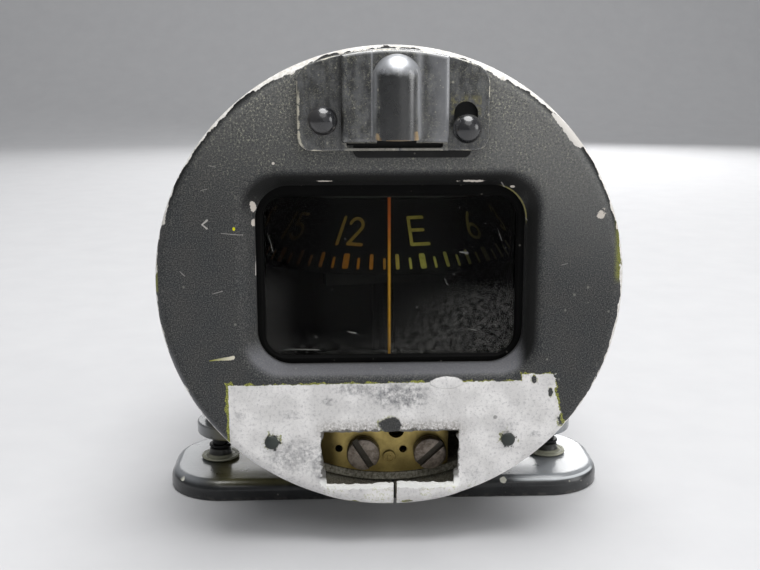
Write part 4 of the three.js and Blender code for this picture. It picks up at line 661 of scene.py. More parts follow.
    # Painted highlight along the torn lip at the opening's lower edge
    painted_highlight_lip = f.inside(brim - 0.75, ragged=ragged * 1.4, soft=0.12) * f.between(z, -37.0, -38.2)
    yellow = f.between(z, -38.0, -39.2) * f.between(blotch, 0.5, 0.66) * f.between(wander, 0.42, 0.6)
    chalk = f.over(
        chalk,
        (grime, 112, 104, 92),
        (pricks * 0.6, 92, 90, 88),
        (torn * 0.8, 58, 56, 48),
        (painted_highlight_lip, 252, 252, 248),
        (yellow * 0.55, 196, 200, 104),
    )

    # The rim: a thin broken line of worn paint, widened at the top as a painted highlight, green primer at both sides
    high = f.between(z, 26.0, 38.0)
    beside_hood = f.either(
        f.between(x, -23.0, -17.5) * f.between(x, -12.0, -16.0),
        f.between(x, 25.0, 18.0) * f.between(x, 12.0, 16.0),
    )
    start = 42.72 - high * 0.28 - beside_hood * 0.5 - f.between(x, 16.0, 30.0) * 0.3
    slow = f.noise(0.28, 3, 0.6) - 0.5
    line = start - reach - slow * 2.4 - ragged * 0.9
    rim = f.between(line, -0.06, 0.06, 1.0, 0.0) * f.between(y, 3.6, 2.8)
    lip = f.between(ragged * 0.8 + y, 11.15, 11.3)
    sides = f.either(
        f.between(x, -42.2, -42.5) * f.inside(abs(z - 1.7) - 2.6, ragged=ragged, soft=0.4),
        f.between(x, 40.5, 42.0) * f.inside(abs(z - 6.8) - 6.0, ragged=ragged, soft=1.2),
    )
    sides = sides * f.between(grit, 0.3, 0.5) * f.between(ragged * 4.0 + y, 4.6, 3.0)
    polished = f.mix(f.between(wobble, 0.4, 0.6), srgb(244, 241, 237), srgb(216, 212, 204))
    metal = f.either(bare, rim, lip)
    colour = f.over(
        paint,
        (fringe, primer),
        (sides, 128, 130, 54),
        (bare, f.mix(halo, chalk, primer)),
        (f.either(rim, lip) * (1.0 - bare), polished),
    )
    for sizes in WHITE_FLAKES:
        chip = f.flake(wobble, *sizes) * front
        colour = f.mix(chip, colour, srgb(216, 208, 198))
        metal = f.either(metal, chip)
    for *sizes, strength in SCRATCHES:
        mark = f.scratch(wobble, *sizes)["Mask"] * front * strength
        colour = f.mix(mark, colour, srgb(206, 202, 196))
        metal = f.either(metal, mark)
    gash = f.scratch(wobble, -33.4, -13.75, -29.2, -13.25, 0.75, 0.8)
    gashed = gash["Mask"] * front
    dot = f.flake(wobble, -28.3, 10.7, 0.5, 0.7, 0.4)
    metal = f.either(metal, gashed)
    height = peel["Height"] * 0.7 - metal * 0.9 + bare * blotch * 0.5 + lump * front * 2.2
    colour = f.over(
        colour,
        (gashed, f.mix(gash["Along"], srgb(140, 140, 30), srgb(226, 220, 202))),
        (dot * front, 206, 204, 20),
    )
    return f.set(
        Base_Color=colour,
        Roughness=metal * 0.06 + f.between(wander, 0.3, 0.7, 0.42, 0.5),
        Specular_IOR_Level=0.24,
        Normal=f.bump(height, 0.6, 0.00012),
    )


def make_enamel(name, dark, light, roughness, dust=0.35, coat=0.0, shine=0.5):
    """Black enamel with dust and a slow tone."""
    f = Finish(name)
    peel = f.grain(1.8, 0.2)
    dots = f.specks(0.55, 0.1, dust)
    shade = f.mix(f.between(peel["Tone"], 0.35, 0.7), dark, light)
    shade = f.mix(dots * 0.4, shade, srgb(150, 146, 138))
    return f.set(
        Base_Color=shade,
        Roughness=f.gloss(peel, roughness - 0.05, roughness + 0.07),
        Specular_IOR_Level=shine,
        Normal=f.bump(peel["Height"], 0.2),
        Coat_Weight=coat,
    )


def make_hood_enamel():
    """Semi-gloss black of the lamp hood, worn bare along its outline and at the dome's mouth, with painted highlights
    and painted shade.
    """
    f = Finish("hood_enamel")
    x, y, z = f.axes()
    peel = f.grain(2.8, 0.25)
    wobble = f.noise(0.9, 5, 0.66)
    ragged = wobble - 0.5
    cloud = f.noise(0.5, 5, 0.62, place=f.moved(scale=(1.2, 1.0, 0.6)))
    dots = f.specks(0.6, 0.1, 0.6)
    crumbs = f.specks(1.6, 0.1, 0.3, place=f.moved(by=(5, 2, 1)))
    shade = f.mix(f.between(cloud, 0.36, 0.66), srgb(26, 27, 29), srgb(88, 89, 90))
    dust = f.noise(3.4, 4, 0.8, 0.3)
    drifted = f.between(f.noise(0.4, 4, 0.65, place=f.moved(by=(7, 0, 3))), 0.36, 0.6, 0.2, 0.75)
    shade = f.mix(f.between(dust, 0.48, 0.66) * drifted, shade, srgb(142, 140, 122))
    # The channel's bends and the dome's flanks: painted highlights on the right, painted shade in the left bend
    raised, front = f.between(y, -2.9, -3.4), f.between(y, -4.3, -4.7)
    broken = f.between(z, 26.4, 28.0) * f.between(wobble, 0.2, 0.5, 0.6, 1.0)
    for x_at, half, soft, strength, where in (
        (9.6, 0.22, 0.3, 0.95, raised), (-3.55, 0.08, 0.2, 0.8, front), (4.7, 0.35, 0.7, 0.6, front)
    ):
        painted_highlight_streak = f.inside(abs(x - x_at) - half, soft=soft) * broken
        shade = f.mix(painted_highlight_streak * where * strength, shade, srgb(190, 191, 194))
    # Painted light: the channel grows lighter towards its right bend
    painted_light = f.between(x, 5.0, 9.6) * f.between(x, 10.0, 9.4) * raised
    # Painted shade in the channel's left bend
    painted_shade_bend = f.inside(abs(x + 8.9) - 0.35, soft=0.4)
    slit = f.between(z, 34.8, 33.6) * f.between(z, 30.6, 31.4) * f.inside(abs(x - 13.0) - 2.7)
    edge = f.either(f.off_box(16.9, 30.0, 2.5, 0.3, 54.7), f.reach(x, z) - HOOD_RIM)
    mouth_edge = f.between(z, 26.42, 26.3) * f.inside(abs(x - 0.5) - 9.3) * 0.35
    lower = f.between(z, 25.6, 25.2) * f.inside(abs(x - 0.5) - 12.0, soft=1.0)
    worn = f.between(ragged * 1.1 + edge, -0.2, -0.08) * (1.0 - lower * 0.85)
    leftward = f.between(x, -15.2, -16.0) * f.between(z, 36.0, 33.0) * f.between(wobble, 0.36, 0.46)
    cut_edges = f.either(
        f.either(mouth_edge, worn) * f.between(f.noise(0.25, 3, 0.6), 0.42, 0.52),
        f.between(ragged * 1.4 + edge, -0.55, -0.4) * leftward,
    )
    shade = f.over(
        shade,
        (painted_light * 0.75, 126, 127, 130),
        (painted_shade_bend * 0.85, 16, 16, 15),
        (slit * f.between(wobble, 0.4, 0.6) * 0.6, 128, 122, 74),
        (f.either(dots, crumbs) * 0.65, 176, 172, 156),
        (cut_edges * 0.85, 206, 200, 180),
    )
    for at_x, width, tall in ((-2.5, 0.9, 2.4), (4.0, 0.9, 3.0), (0.8, 6.0, 0.45)):
        mouth = f.flake(wobble, at_x, 26.9, width, tall, 1.6)
        tint = f.mix(f.noise(1.5, 3, 0.6), srgb(120, 76, 30), srgb(226, 200, 150))
        shade = f.mix(mouth * f.between(y, -4.8, -5.2) * 0.85, shade, tint)
    # Painted highlight: the crown of the dome and its flanks are pale and metal-like; painted shade: its face is near
    # black
    across = abs(x - LAMP_X)
    dome = f.inside(across - 4.5) * f.between(y, -4.68, -4.8) * f.between(z, 26.6, 27.2)
    face = dome * f.between(across, 3.4, 2.7) * f.between(ragged * 1.6 + z, 39.0, 37.6)
    crown = dome * f.between(ragged * 1.5 + z, 37.6, 39.6)
    flanks = dome * f.between(across, 3.3, 3.9) * f.between(z, 29.0, 35.0, 0.25, 0.8)
    painted_highlight = f.either(crown, flanks)
    shade = f.over(shade, (face * 0.9, 14, 15, 16), (painted_highlight, 206, 208, 212))
    return f.set(
        Base_Color=shade,
        Metallic=painted_highlight * 0.8,
        Roughness=f.either(f.gloss(peel, 0.24, 0.34), painted_highlight * 0.42),
        Specular_IOR_Level=0.8,
        Coat_Weight=1.0,
        Coat_Roughness=0.18,
        Normal=f.bump(peel["Height"] - cut_edges * 0.8, 0.14),
    )


def make_case_enamel():
    """Black enamel of the case: darkened to near black in the liquid chamber as painted shade, a bare grey casting in
    the compensator's bay.
    """
    f = Finish("case_enamel")
    x, y, z = f.axes()
    peel = f.grain(1.8, 0.2)
    coarse = f.noise(1.6, 6, 0.75)
    shade = f.mix(f.between(peel["Tone"], 0.3, 0.75), srgb(34, 35, 37), srgb(48, 49, 51))
    settled = f.between(z, 16.0, 38.0) * f.between(f.noise(1.1, 5, 0.7), 0.38, 0.66)
    dots = f.specks(0.5, 0.1, 0.4)
    shoulder = f.between(y, 79.0, 79.8) * f.between(y, 81.2, 80.8) * f.between(coarse, 0.46, 0.6)
    bay = f.inside(abs(x) - 17.3, z + 23.7, y - 23.2, 8.2 - y)
    cast = f.mix(f.between(coarse, 0.35, 0.65), srgb(106, 102, 88), srgb(190, 186, 172))
    # Painted shade: the liquid chamber's walls are darkened to near black
    chamber = f.inside(f.reach(x, z - 2.0) - 34.9, 8.25 - y, y - 77.7, soft=0.1)
    shade = f.over(
        shade,
        (settled * 0.3, 112, 110, 104),
        (dots * 0.3, 132, 130, 124),
        (shoulder * 0.6, 120, 114, 104),
        (chamber, 13, 13, 13),
        (bay, cast),
    )
    return f.set(
        Base_Color=shade,
        Roughness=f.either(f.gloss(peel, 0.36, 0.46), f.either(chamber, bay) * 0.7),
        Normal=f.bump((coarse - peel["Height"]) * bay + peel["Height"], 0.3, 0.00015),
    )


def make_base_enamel():
    """Glossy black enamel of the foot: yellowed on its top, with a painted reflection on its ends and a painted
    highlight on its right shoulder, chipped at its front.
    """
    f = Finish("base_enamel")
    x, y, z = f.axes()
    peel = f.grain(1.1, 0.16)
    wobble = f.noise(0.5, 5, 0.66)
    dots = f.specks(0.6, 0.11, 0.35)
    shade = f.mix(f.between(peel["Tone"], 0.35, 0.7), srgb(24, 25, 27), srgb(44, 45, 46))
    top = f.between(z, -47.6, -46.5)
    slow = f.noise(0.16, 3, 0.5)
    tan = f.between(x, -12.0, -22.0) * f.between(x, -40.0, -32.0) * top * f.between(slow, 0.25, 0.6, 0.5, 1.0)
    # Painted reflection, with some dust: the tops of both ends are paler
    ends = f.between(x, -35.0, -43.0) * 0.8 + f.between(x, 20.0, 34.0)
    pale = ends * top * f.between(slow, 0.25, 0.6, 0.6, 1.0)
    shoulder = f.between(z, -47.3, -47.05) * f.between(z, -46.7, -46.85)
    # Painted highlight: a pale line along the right end's shoulder
    painted_glint = shoulder * f.between(x, 25.5, 30.0) * f.between(y, 30.0, 28.0)
    scuffed = f.between(z, -49.4, -50.3) * f.between(wobble, 0.46, 0.6)
    shade = f.over(
        shade,
        (tan * 0.6, 138, 132, 88),
        (pale * 0.6, 186, 190, 194),
        (painted_glint * 0.8, 226, 230, 232),
        (scuffed * 0.5, 96, 92, 86),
        (dots * 0.5, 160, 156, 146),
    )
    for spot_x, width in ((24.6, 1.5), (-43.6, 1.3)):
        chip = f.flake(wobble, spot_x, -47.0, width, 1.1, 0.6)
        shade = f.mix(chip * f.between(y, 27.0, 26.0), shade, srgb(226, 224, 210))
    return f.set(
        Base_Color=shade,
        Roughness=f.gloss(peel, 0.26, 0.38),
        Normal=f.bump(peel["Height"], 0.3, 0.00015),
        Coat_Weight=0.4,
        Coat_Roughness=0.15,
    )


def make_glass(name, tint, painted_shade_sides=None):
    """Clear glass that lets light through to what it covers; its last argument is a dark tint towards both sides, a
    painted shade.
    """
    f = Finish(name)
    smear = f.between(f.noise(0.35, 5, 0.7), 0.45, 0.75)
    shadow = f.node("ShaderNodeLightPath")["Is Shadow Ray"]
    colour = f.mix(smear, tint, tuple(c * 0.94 for c in tint))
    # Painted shade: the glass grows dark towards both sides, dimming the card's side marks behind it
    if painted_shade_sides:
        colour = f.mix(f.between(abs(f.axes()[0]), 7.5, 17.5), colour, painted_shade_sides)
    return f.set(
        Base_Color=colour,
        Transmission_Weight=1.0,
        IOR=1.13,
        Roughness=smear * 0.02,
        Alpha=1.0 - shadow,
    )


HAIRS = (
    # start x, start z, end x, end z, width
    (-20.0, -13.2, -13.5, -13.4, 0.22), (13.0, 5.2, 14.4, 5.0, 0.45), (14.6, -9.6, 16.2, -9.9, 0.3),
    (-8.0, -9.9, -6.6, -10.2, 0.3), (20.0, 9.6, 20.8, 7.4, 0.18), (-22.6, 9.0, -21.8, 5.6, 0.14),
    (10.2, 0.2, 10.8, -1.0, 0.14),
)


def make_dust_film():
    """Dust and dried haze on the window: specks, a few hairs, a mottled grey bloom low on the right."""
    f = Finish("dust_film")
    x, _, z = f.axes()
    small = f.specks(0.42, 0.07, 0.5)
    large = f.specks(0.14, 0.05, 0.3, place=f.moved(by=(3, 1, 7)))
    mottle = f.between(f.noise(1.1, 4, 0.65), 0.38, 0.62)
    low_right = f.between(x - z * 0.9, 2.0, 22.0) * f.between(z, 0.5, -5.0)
    low = f.between(z, -9.0, -14.0) * f.between(f.noise(0.9, 4, 0.7), 0.4, 0.7)
    left = f.between(x, -17.0, -23.0) * f.between(z, 3.0, -3.0)
    bloom = low_right * (mottle * 0.8 + 0.15) * 0.06 + low * 0.035 + left * 0.02
    amount = f.math("ADD", bloom + small * 0.22, large * 0.5, clamp=True)
    for sizes in HAIRS:
        amount = f.scratch(0.5, *sizes)["Mask"] * 0.3 + amount
    return f.set(
        Base_Color=f.mix(mottle, srgb(168, 168, 164), srgb(196, 194, 188)),
        Roughness=0.9,
        Alpha=f.math("MINIMUM", amount, 0.8),
    )


def make_line_paint():
    """The lubber line: orange-yellow, faded to red towards its top, with a faint painted glow."""
    f = Finish("line_paint")
    z = f.axes()[2]
    worn = f.between(f.noise(1.2, 4, 0.6), 0.3, 0.7, 0.72, 1.0)
    faded = f.mix(f.between(z, 2.0, 11.0), srgb(216, 156, 34), srgb(196, 92, 20))
    colour = f.mix(f.between(z, -8.0, -16.0) * 0.35, faded, srgb(96, 84, 40))
    return f.set(
        Base_Color=f.mix(worn, srgb(70, 50, 14), colour),
        Roughness=0.55,
        # Painted glow: the line gives off a faint light of its own
        Emission_Color=colour,
        Emission_Strength=0.12,
    )


def make_luminous():
    """Faded luminous paint of the card's marks: orange on one side of the card, yellow-green on the other; the
    numerals carry a faint painted glow.
    """
    f = Finish("card_marks")
    x, _, z = f.axes()
    worn = f.noise(1.4, 4, 0.6)
    side = f.between(x, -2.5, 5.0)
    tint = f.mix(side, srgb(210, 134, 36), srgb(246, 238, 118))
    upper = f.between(z, 3.2, 5.4)
    tint = f.mix(upper * 0.8, tint, f.mix(side, srgb(152, 136, 60), srgb(232, 210, 102)))
    strength = f.between(worn, 0.25, 0.7, 1.0, 0.68)
    # Painted glow: the numerals give off a faint light of their own
    painted_light = f.mix(upper * strength, (0.0, 0.0, 0.0), tint)
    return f.set(
        Base_Color=f.mix(strength, srgb(13, 12, 10), tint),
        Roughness=0.85,
        Specular_IOR_Level=0.2,
        Emission_Color=painted_light,
        Emission_Strength=0.07,
    )


def make_matte(name, colour, roughness=0.8, shine=0.5):
    f = Finish(name)
    peel = f.grain(2.5, 0.3)
    light = tuple(c * 1.6 + 0.002 for c in colour)
    return f.set(
        Base_Color=f.mix(f.between(peel["Tone"], 0.3, 0.7), colour, light),
        Roughness=roughness,
        Specular_IOR_Level=shine,
        Normal=f.bump(peel["Height"], 0.3),
    )


def make_grommet_rubber():
    """Aged rubber of the shock mounts: pale on its flange, dark on its neck."""
    f = Finish("dusty_rubber")
    z = f.axes()[2]
    peel = f.grain(2.5, 0.4)
    flange = f.between(z, -45.1, -45.45) * f.between(peel["Tone"], 0.3, 0.65, 0.5, 1.0)
    return f.set(
        Base_Color=f.mix(flange, srgb(48, 48, 44), srgb(188, 188, 166)),
        Roughness=f.between(flange, 0.0, 1.0, 0.36, 0.6),
        Normal=f.bump(peel["Height"], 0.3),
    )


def make_screw_bronze():
    """Dull bronze of the adjusting screws: darker in the slots and round the heads, pale worn faces."""
    f = Finish("screw_bronze")
    y = f.axes()[1]
    wear = f.noise(0.9, 5, 0.65)
    marks = f.noise(1.6, 4, 0.7, place=f.moved(scale=(1, 1, 5)))
    face = f.mix(f.between(wear, 0.35, 0.65), srgb(104, 94, 84), srgb(150, 140, 130))
    slot = f.between(y, 6.75, 7.1) * f.between(y, 7.9, 7.5)
    slots_darker = f.either(slot, f.between(y, 8.0, 8.7))
    return f.set(
        Base_Color=f.mix(slots_darker * 0.85, face, srgb(44, 40, 26)),
        Metallic=0.8 - slots_darker * 0.5,
        Roughness=f.between(marks, 0.2, 0.8, 0.36, 0.56),
        Normal=f.bump(marks, 0.3),
    )


def make_jewel():
    f = Finish("jewel")
    cloud = f.noise(2.0, 3, 0.5)
    return f.set(Base_Color=f.mix(cloud, srgb(120, 12, 30), srgb(170, 30, 50)), Roughness=0.08, Coat_Weight=0.4)


cover_paint = make_cover_paint()
hood_enamel = make_hood_enamel()
case_enamel = make_case_enamel()
base_enamel = make_base_enamel()
stud_enamel = make_enamel("stud_enamel", srgb(26, 27, 30), srgb(48, 46, 46), 0.27, dust=0.6, coat=0.8)
# The backing plate under the hood is darkened as painted shade
backing_enamel = make_enamel("backing_enamel", srgb(14, 14, 14), srgb(30, 30, 29), 0.5, dust=0.6, shine=0.3)
frame_enamel = make_enamel("frame_enamel", srgb(4, 4, 4), srgb(10, 10, 9), 0.6, dust=0.3, shine=0.08)
# The window glass carries a painted shade at its sides
window_glass = make_glass("window_glass", (0.66, 0.68, 0.62), painted_shade_sides=(0.06, 0.06, 0.055))
bulb_glass = make_glass("bulb_glass", (0.95, 0.95, 0.93))
dust_film = make_dust_film()
line_paint = make_line_paint()
card_marks = make_luminous()
card_black = make_matte("card_black", srgb(10, 10, 9), 0.9, 0.05)
rubber = make_matte("rubber", srgb(34, 34, 34), 0.7)
dusty_rubber = make_grommet_rubber()
rivet_paint = make_matte("rivet_paint", srgb(36, 41, 38), 0.5)
screw_bronze = make_screw_bronze()
steel = plain_metal("steel", srgb(128, 128, 128), 0.42)
bright_sheet = plain_metal("bright_sheet", srgb(176, 178, 178), 0.38)
black_steel = plain_metal("black_steel", srgb(30, 30, 31), 0.5, metallic=0.5)
brass = plain_metal("brass", srgb(176, 156, 98), 0.42)
# Brass of the compensator's face, with a painted shadow at its ends
soiled_brass = plain_metal("soiled_brass", srgb(180, 160, 100), 0.42, painted_shade_from=8.9)
jewel = make_jewel()


# -------------------------------------------------------------- front cover
def bevel_outline(share, grown):
    side, top, bottom = [BEVEL[k] * (1 - share) + grown for k in ("side", "top", "bottom")]
    corner = BEVEL["corner"] * (1 - share) + WINDOW["corner"] * share + grown
    half_x, half_z, z = WINDOW["half_x"], WINDOW["half_z"], WINDOW["z"]
    return rounded(-half_x - side, half_x + side, z - half_z - bottom, z + half_z + top, corner, 12)


def bevel_sections(grown, behind, steps=14):
    sections = []
    for i in range(steps + 1):
        share = i / steps
        y = BEVEL["depth"] * share ** BEVEL["power"] + behind
        sections.append([(p[0], y, p[1]) for p in bevel_outline(share, grown)])
    return sections


def flat_section(points, y):
    return [(p[0], y, p[1]) for p in points]


def access_outline():
    """The opening over the adjusting screws: hand-cut, wider above than below, with uneven sides."""
    lottery = random.Random(4)
    corners = [
        (12.6, -27.9), (-12.8, -27.9), (-12.7, -28.4), (-13.2, -29.6), (-13.25, -31.5), (-12.8, -34.2),
        (-12.95, -35.4), (-12.4, -35.9), (-12.3, -38.4), (0.1, -38.3), (1.2, -38.1), (11.8, -38.3),
        (11.9, -36.0), (12.55, -35.6), (12.6, -33.0), (12.85, -30.2), (12.2, -29.0), (12.7, -28.5),
    ]
    points = []
    for a, b in zip(corners, corners[1:] + corners[:1]):
        length = math.dist(a, b)
        count = max(2, round(length / 0.55))
        for i in range(count):
            share = i / count
            wave = 0.0 if i == 0 else lottery.uniform(-0.12, 0.12)
            run, rise = b[0] - a[0], b[1] - a[1]
            points.append((a[0] + run * share - rise / length * wave, a[1] + rise * share + run / length * wave))
    return points


def lamp_port(front, back):
    return slab(lambda inset: rounded(LAMP_X - 3.4, LAMP_X + 3.4, 28, 37, 1.7, 6), front, back, (0, 0))


def make_front_cover():
    edge = COVER_RADIUS - COVER_ROUND
    inner = COVER_ROUND - COVER_SHEET
    shell = turned(
        [(0, 0), (20, 0), (34, 0)]
        + arc(edge, COVER_ROUND, COVER_ROUND, -90, 0, 10)
        + [(COVER_RADIUS, COVER_DEPTH), (COVER_RADIUS - COVER_SHEET, COVER_DEPTH)]
        + arc(edge, COVER_ROUND, inner, 0, -90, 6)
        + [(0, COVER_SHEET)],
        steps=240,
    )
    back = lofted(
        [flat_section(bevel_outline(0, COVER_SHEET), COVER_SHEET / 2)] + bevel_sections(COVER_SHEET, COVER_SHEET)
    )
    front = lofted(
        [flat_section(bevel_outline(0, 0), -1)] + bevel_sections(0, 0)
        + [flat_section(bevel_outline(1, 0), BEVEL["depth"] + COVER_SHEET + 1)],
    )
    access = lofted([flat_section(access_outline(), y) for y in (-1, 3.3)])
    slit = block(0.38, 1.02, -1, 12.5, -44, -36.9)
    holes = rods(STUDS, 1.5, -1, 2.3, 32) + rods(RIVETS, RIVET_HOLE, -1, 2.3, 24)
    join(shell, back)
    cut(shell, front, access, slit, lamp_port(-1, 2.3), *holes)

    def bulge(p):
        """The two tabs under the opening stand a little proud and are bent apart."""
        if p.z > -36.5 or abs(p.x) > 13.5:
            return p
        down = min(max((-37.2 - p.z) / 1.2, 0), 1) * min(max((p.z + 43.2) / 3.5, 0), 1)
        across = max(0, 1 - (abs(abs(p.x) - 6) / 7.5) ** 3)
        p.y -= 0.9 * down * across
        return p

    return moved(shell, bulge)


piece(make_front_cover(), "cover_shell", cover_paint, "cover_paint", "front_cover", sharp=32)
for side, (x, z) in zip(("left", "right"), RIVETS):
    head = [(0, -0.72), (0.5, -0.69), (0.95, -0.58), (1.22, -0.42), (1.3, -0.3), (0.8, -0.3), (0.8, 9.3), (0, 9.3)]
    rivet = turned(head, 32, x=x, z=z)
    piece(rivet, f"cover_rivet_{side}", rivet_paint, "cover_paint", f"front_cover_rivet_{side}")


# ------------------------------------------------------------ glass and line
FRAME_FRONT, FRAME_BACK = 4.5, 9.0


def make_glass_frame():
    body = slab(centred(30, 21.5, WINDOW_Z, 2.5), FRAME_FRONT, FRAME_BACK, (0.3, 0.1))
    pocket = slab(centred(27.0, 19.0, WINDOW_Z, 5.3), FRAME_FRONT + 0.8, 10, (0, 0))
    view = lofted(
        [
            flat_section(centred(23.4 + e, 15.05 + e, WINDOW_Z, 4 + e, 12)(0), y)
            for y, e in ((3.5, 0.5), (FRAME_FRONT, 0.5), (FRAME_FRONT + 0.5, 0.0), (6.5, 0.0))
        ],
    )
    holes = []
    for x, z in FRAME_SCREWS:
        holes += [rod(1.9, 3.5, 6.3, x=x, z=z, steps=24), rod(1.1, 4.5, 10, x=x, z=z, steps=16)]
    return cut(body, pocket, view, *holes)


piece(make_glass_frame(), "frame_ring", frame_enamel, "black_enamel", "glass_frame")
pane = slab(centred(26.7, 18.7, WINDOW_Z, 5), 5.6, 7.9, (0.25, 0.25))
piece(pane, "window_pane", window_glass, "clear_glass", "window_glass")
film = slab(centred(23.7, 15.4, WINDOW_Z, 3.9), 5.52, 5.56, (0, 0))
piece(film, "window_dust", dust_film, "clear_glass")
wire = turned(
    [(0, -16.6), (0.2, -16.6), (0.28, -16.5), (0.28, 16.3), (0.2, 16.4), (0, 16.4)],
    16, "z", y=10.5,
)
piece(wire, "lubber_wire", line_paint, "line_paint", "lubber_line")


# ---------------------------------------------------------------- the card
BAND_BOTTOM, BAND_TOP = -0.8, 12.6
BAND_RADIUS, BAND_TOP_RADIUS = 30.8, 21.4
BAND_SHEET = 0.6
# The heading that stands in front, in degrees, and the height at which marks keep their width
HEADING = 103.6
NUMERAL_MIDDLE = 7


def band_radius(z):
    return BAND_RADIUS - (BAND_RADIUS - BAND_TOP_RADIUS) * (z - BAND_BOTTOM) / (BAND_TOP - BAND_BOTTOM)


def on_band(across, z, heading, lift):
    """A point of a mark: across is millimetres to the right of the heading's own line, at the numerals' height."""
    turn = math.radians(HEADING - heading) + across / band_radius(NUMERAL_MIDDLE)
    radius = band_radius(z) + lift
    return (radius * math.sin(turn), CARD_Y - radius * math.cos(turn), z)


NUMERAL_FOOT = 4.55
NUMERAL_SQUEEZE = 0.93
NUMERAL_GAP = 0.75
NUMERAL_PEN = 0.31
TICK_FOOT = 0.2
# Each mark's width and its pen strokes, 5.2 high
GLYPHS = {
    "1": (1.2, [[(0.1, 0.0), (0.75, 5.2)]]),
    "2": (2.9, [arc(1.5, 3.75, 1.3, 165, -20, 10) + [(2.2, 2.6), (0.25, 0.1), (2.8, 0.0)]]),
    "3": (2.8, [arc(1.3, 3.9, 1.2, 160, -90, 9), arc(1.25, 1.35, 1.4, 90, -160, 10)]),
    "4": (3.0, [[(2.1, 0.0), (2.1, 5.2), (0.1, 1.6), (2.9, 1.6)]]),
    "5": (2.8, [[(2.5, 5.2), (0.6, 5.2), (0.4, 2.9)] + arc(1.35, 1.65, 1.5, 115, -150, 10)]),
    "6": (2.9, [[(2.2, 5.2), (1.2, 4.2)] + arc(1.45, 1.5, 1.4, 160, 520, 16)]),
    "0": (2.9, [arc(1.45, 3.6, 1.35, 0, 180, 8) + arc(1.45, 1.5, 1.35, 180, 360, 8) + [(2.8, 3.6)]]),
    "E": (3.6, [[(3.4, 5.2), (0.3, 5.2), (0.3, 0.0), (3.6, 0.0)], [(0.3, 2.75), (3.0, 2.75)]]),
    "N": (3.0, [[(0.3, 0.0), (0.3, 5.2), (2.8, 0.0), (2.8, 5.2)]]),
    "S": (2.8, [arc(1.4, 3.9, 1.2, 30, 270, 9)[:-1] + arc(1.35, 1.35, 1.35, 90, -150, 9)]),
    "W": (3.9, [[(0.2, 5.2), (1.0, 0.0), (2.0, 4.0), (3.0, 0.0), (3.8, 5.2)]]),
}


def stroke_solid(points, heading, shift):
    """One pen stroke with a round end at each turn, laid on the band."""
    verts, faces = [], []
    for a, b in zip(points, points[1:]):
        along = math.atan2(b[1] - a[1], b[0] - a[0])
        outline = []
        for centre, start in ((b, -90), (a, 90)):
            for i in range(7):
                turn = along + math.radians(start + 30 * i)
                outline.append((centre[0] + NUMERAL_PEN * math.cos(turn), centre[1] + NUMERAL_PEN * math.sin(turn)))
        base = len(verts)
        count = len(outline)
        for lift in (0.02, 0.12):
            verts += [on_band(p[0] + shift, NUMERAL_FOOT + NUMERAL_SQUEEZE * p[1], heading, lift) for p in outline]
        faces.append(tuple(base + i for i in range(count - 1, -1, -1)))
        faces.append(tuple(base + count + i for i in range(count)))
        for i in range(count):
            j = (i + 1) % count
            faces.append((base + i, base + j, base + count + j, base + count + i))
    return verts, faces


def make_numerals():
    verts, faces = [], []
    for heading in range(0, 360, 30):
        label = {0: "N", 90: "E", 180: "S", 270: "W"}.get(heading, str(heading // 10))
        width = sum(GLYPHS[c][0] for c in label) + NUMERAL_GAP * (len(label) - 1)
        shift = -width / 2
        for letter in label:
            for points in GLYPHS[letter][1]:
                v, f = stroke_solid(points, heading, shift)
                faces += [tuple(i + len(verts) for i in face) for face in f]
                verts += v
            shift += GLYPHS[letter][0] + NUMERAL_GAP
    return new_object(verts, faces)


class Repeat(Nodes):
    """A Geometry Nodes tree that sets copies of one shape on a row of points."""

    def __init__(self, name, shape, **numbers):
        super().__init__(bpy.data.node_groups.new(name, "GeometryNodeTree"))
        self.shape, self.given = shape, {}
        for label, value in {"Shape": shape, **numbers}.items():
            kind = {int: "NodeSocketInt", float: NUMBER}.get(type(value), "NodeSocketObject")
            socket = self.tree.interface.new_socket(label, in_out="INPUT", socket_type=kind)
            self.given[socket.identifier] = value
        self.tree.interface.new_socket("Geometry", in_out="OUTPUT", socket_type="NodeSocketGeometry")
        self.entry = self.node("NodeGroupInput")
        self.index = self.node("GeometryNodeInputIndex")[0]

    def vector(self, x, y, z):
        return self.node("ShaderNodeCombineXYZ", {0: x, 1: y, 2: z})[0]

    def made(self, spot, material, rotation, scale=(1, 1, 1)):
        """Ends the tree, runs it on an empty mesh and returns the plain mesh's object."""
        line = self.node("GeometryNodeMeshLine", {"Count": self.entry["Count"], "Offset": (0, 0, 0)})[0]
        points = self.node("GeometryNodeSetPosition", {"Geometry": line, "Position": spot})[0]
        copy = self.node("GeometryNodeObjectInfo", {"Object": self.entry["Shape"]})["Geometry"]
        values = {"Points": points, "Instance": copy, "Rotation": rotation, "Scale": scale}
        real = self.node("GeometryNodeRealizeInstances", {0: self.node("GeometryNodeInstanceOnPoints", values)[0]})[0]
        last = self.node("GeometryNodeSetMaterial", {"Geometry": real, "Material": material})[0]
        self.feed(self.tree.nodes.new("NodeGroupOutput").inputs[0], last)
        obj = new_object([(0, 0, 0)], [])
        step = obj.modifiers.new("repeat", "NODES")
        step.node_group = self.tree
        for identifier, value in self.given.items():
            step[identifier] = value
        baked(obj)
        bpy.data.objects.remove(self.shape)
        return obj


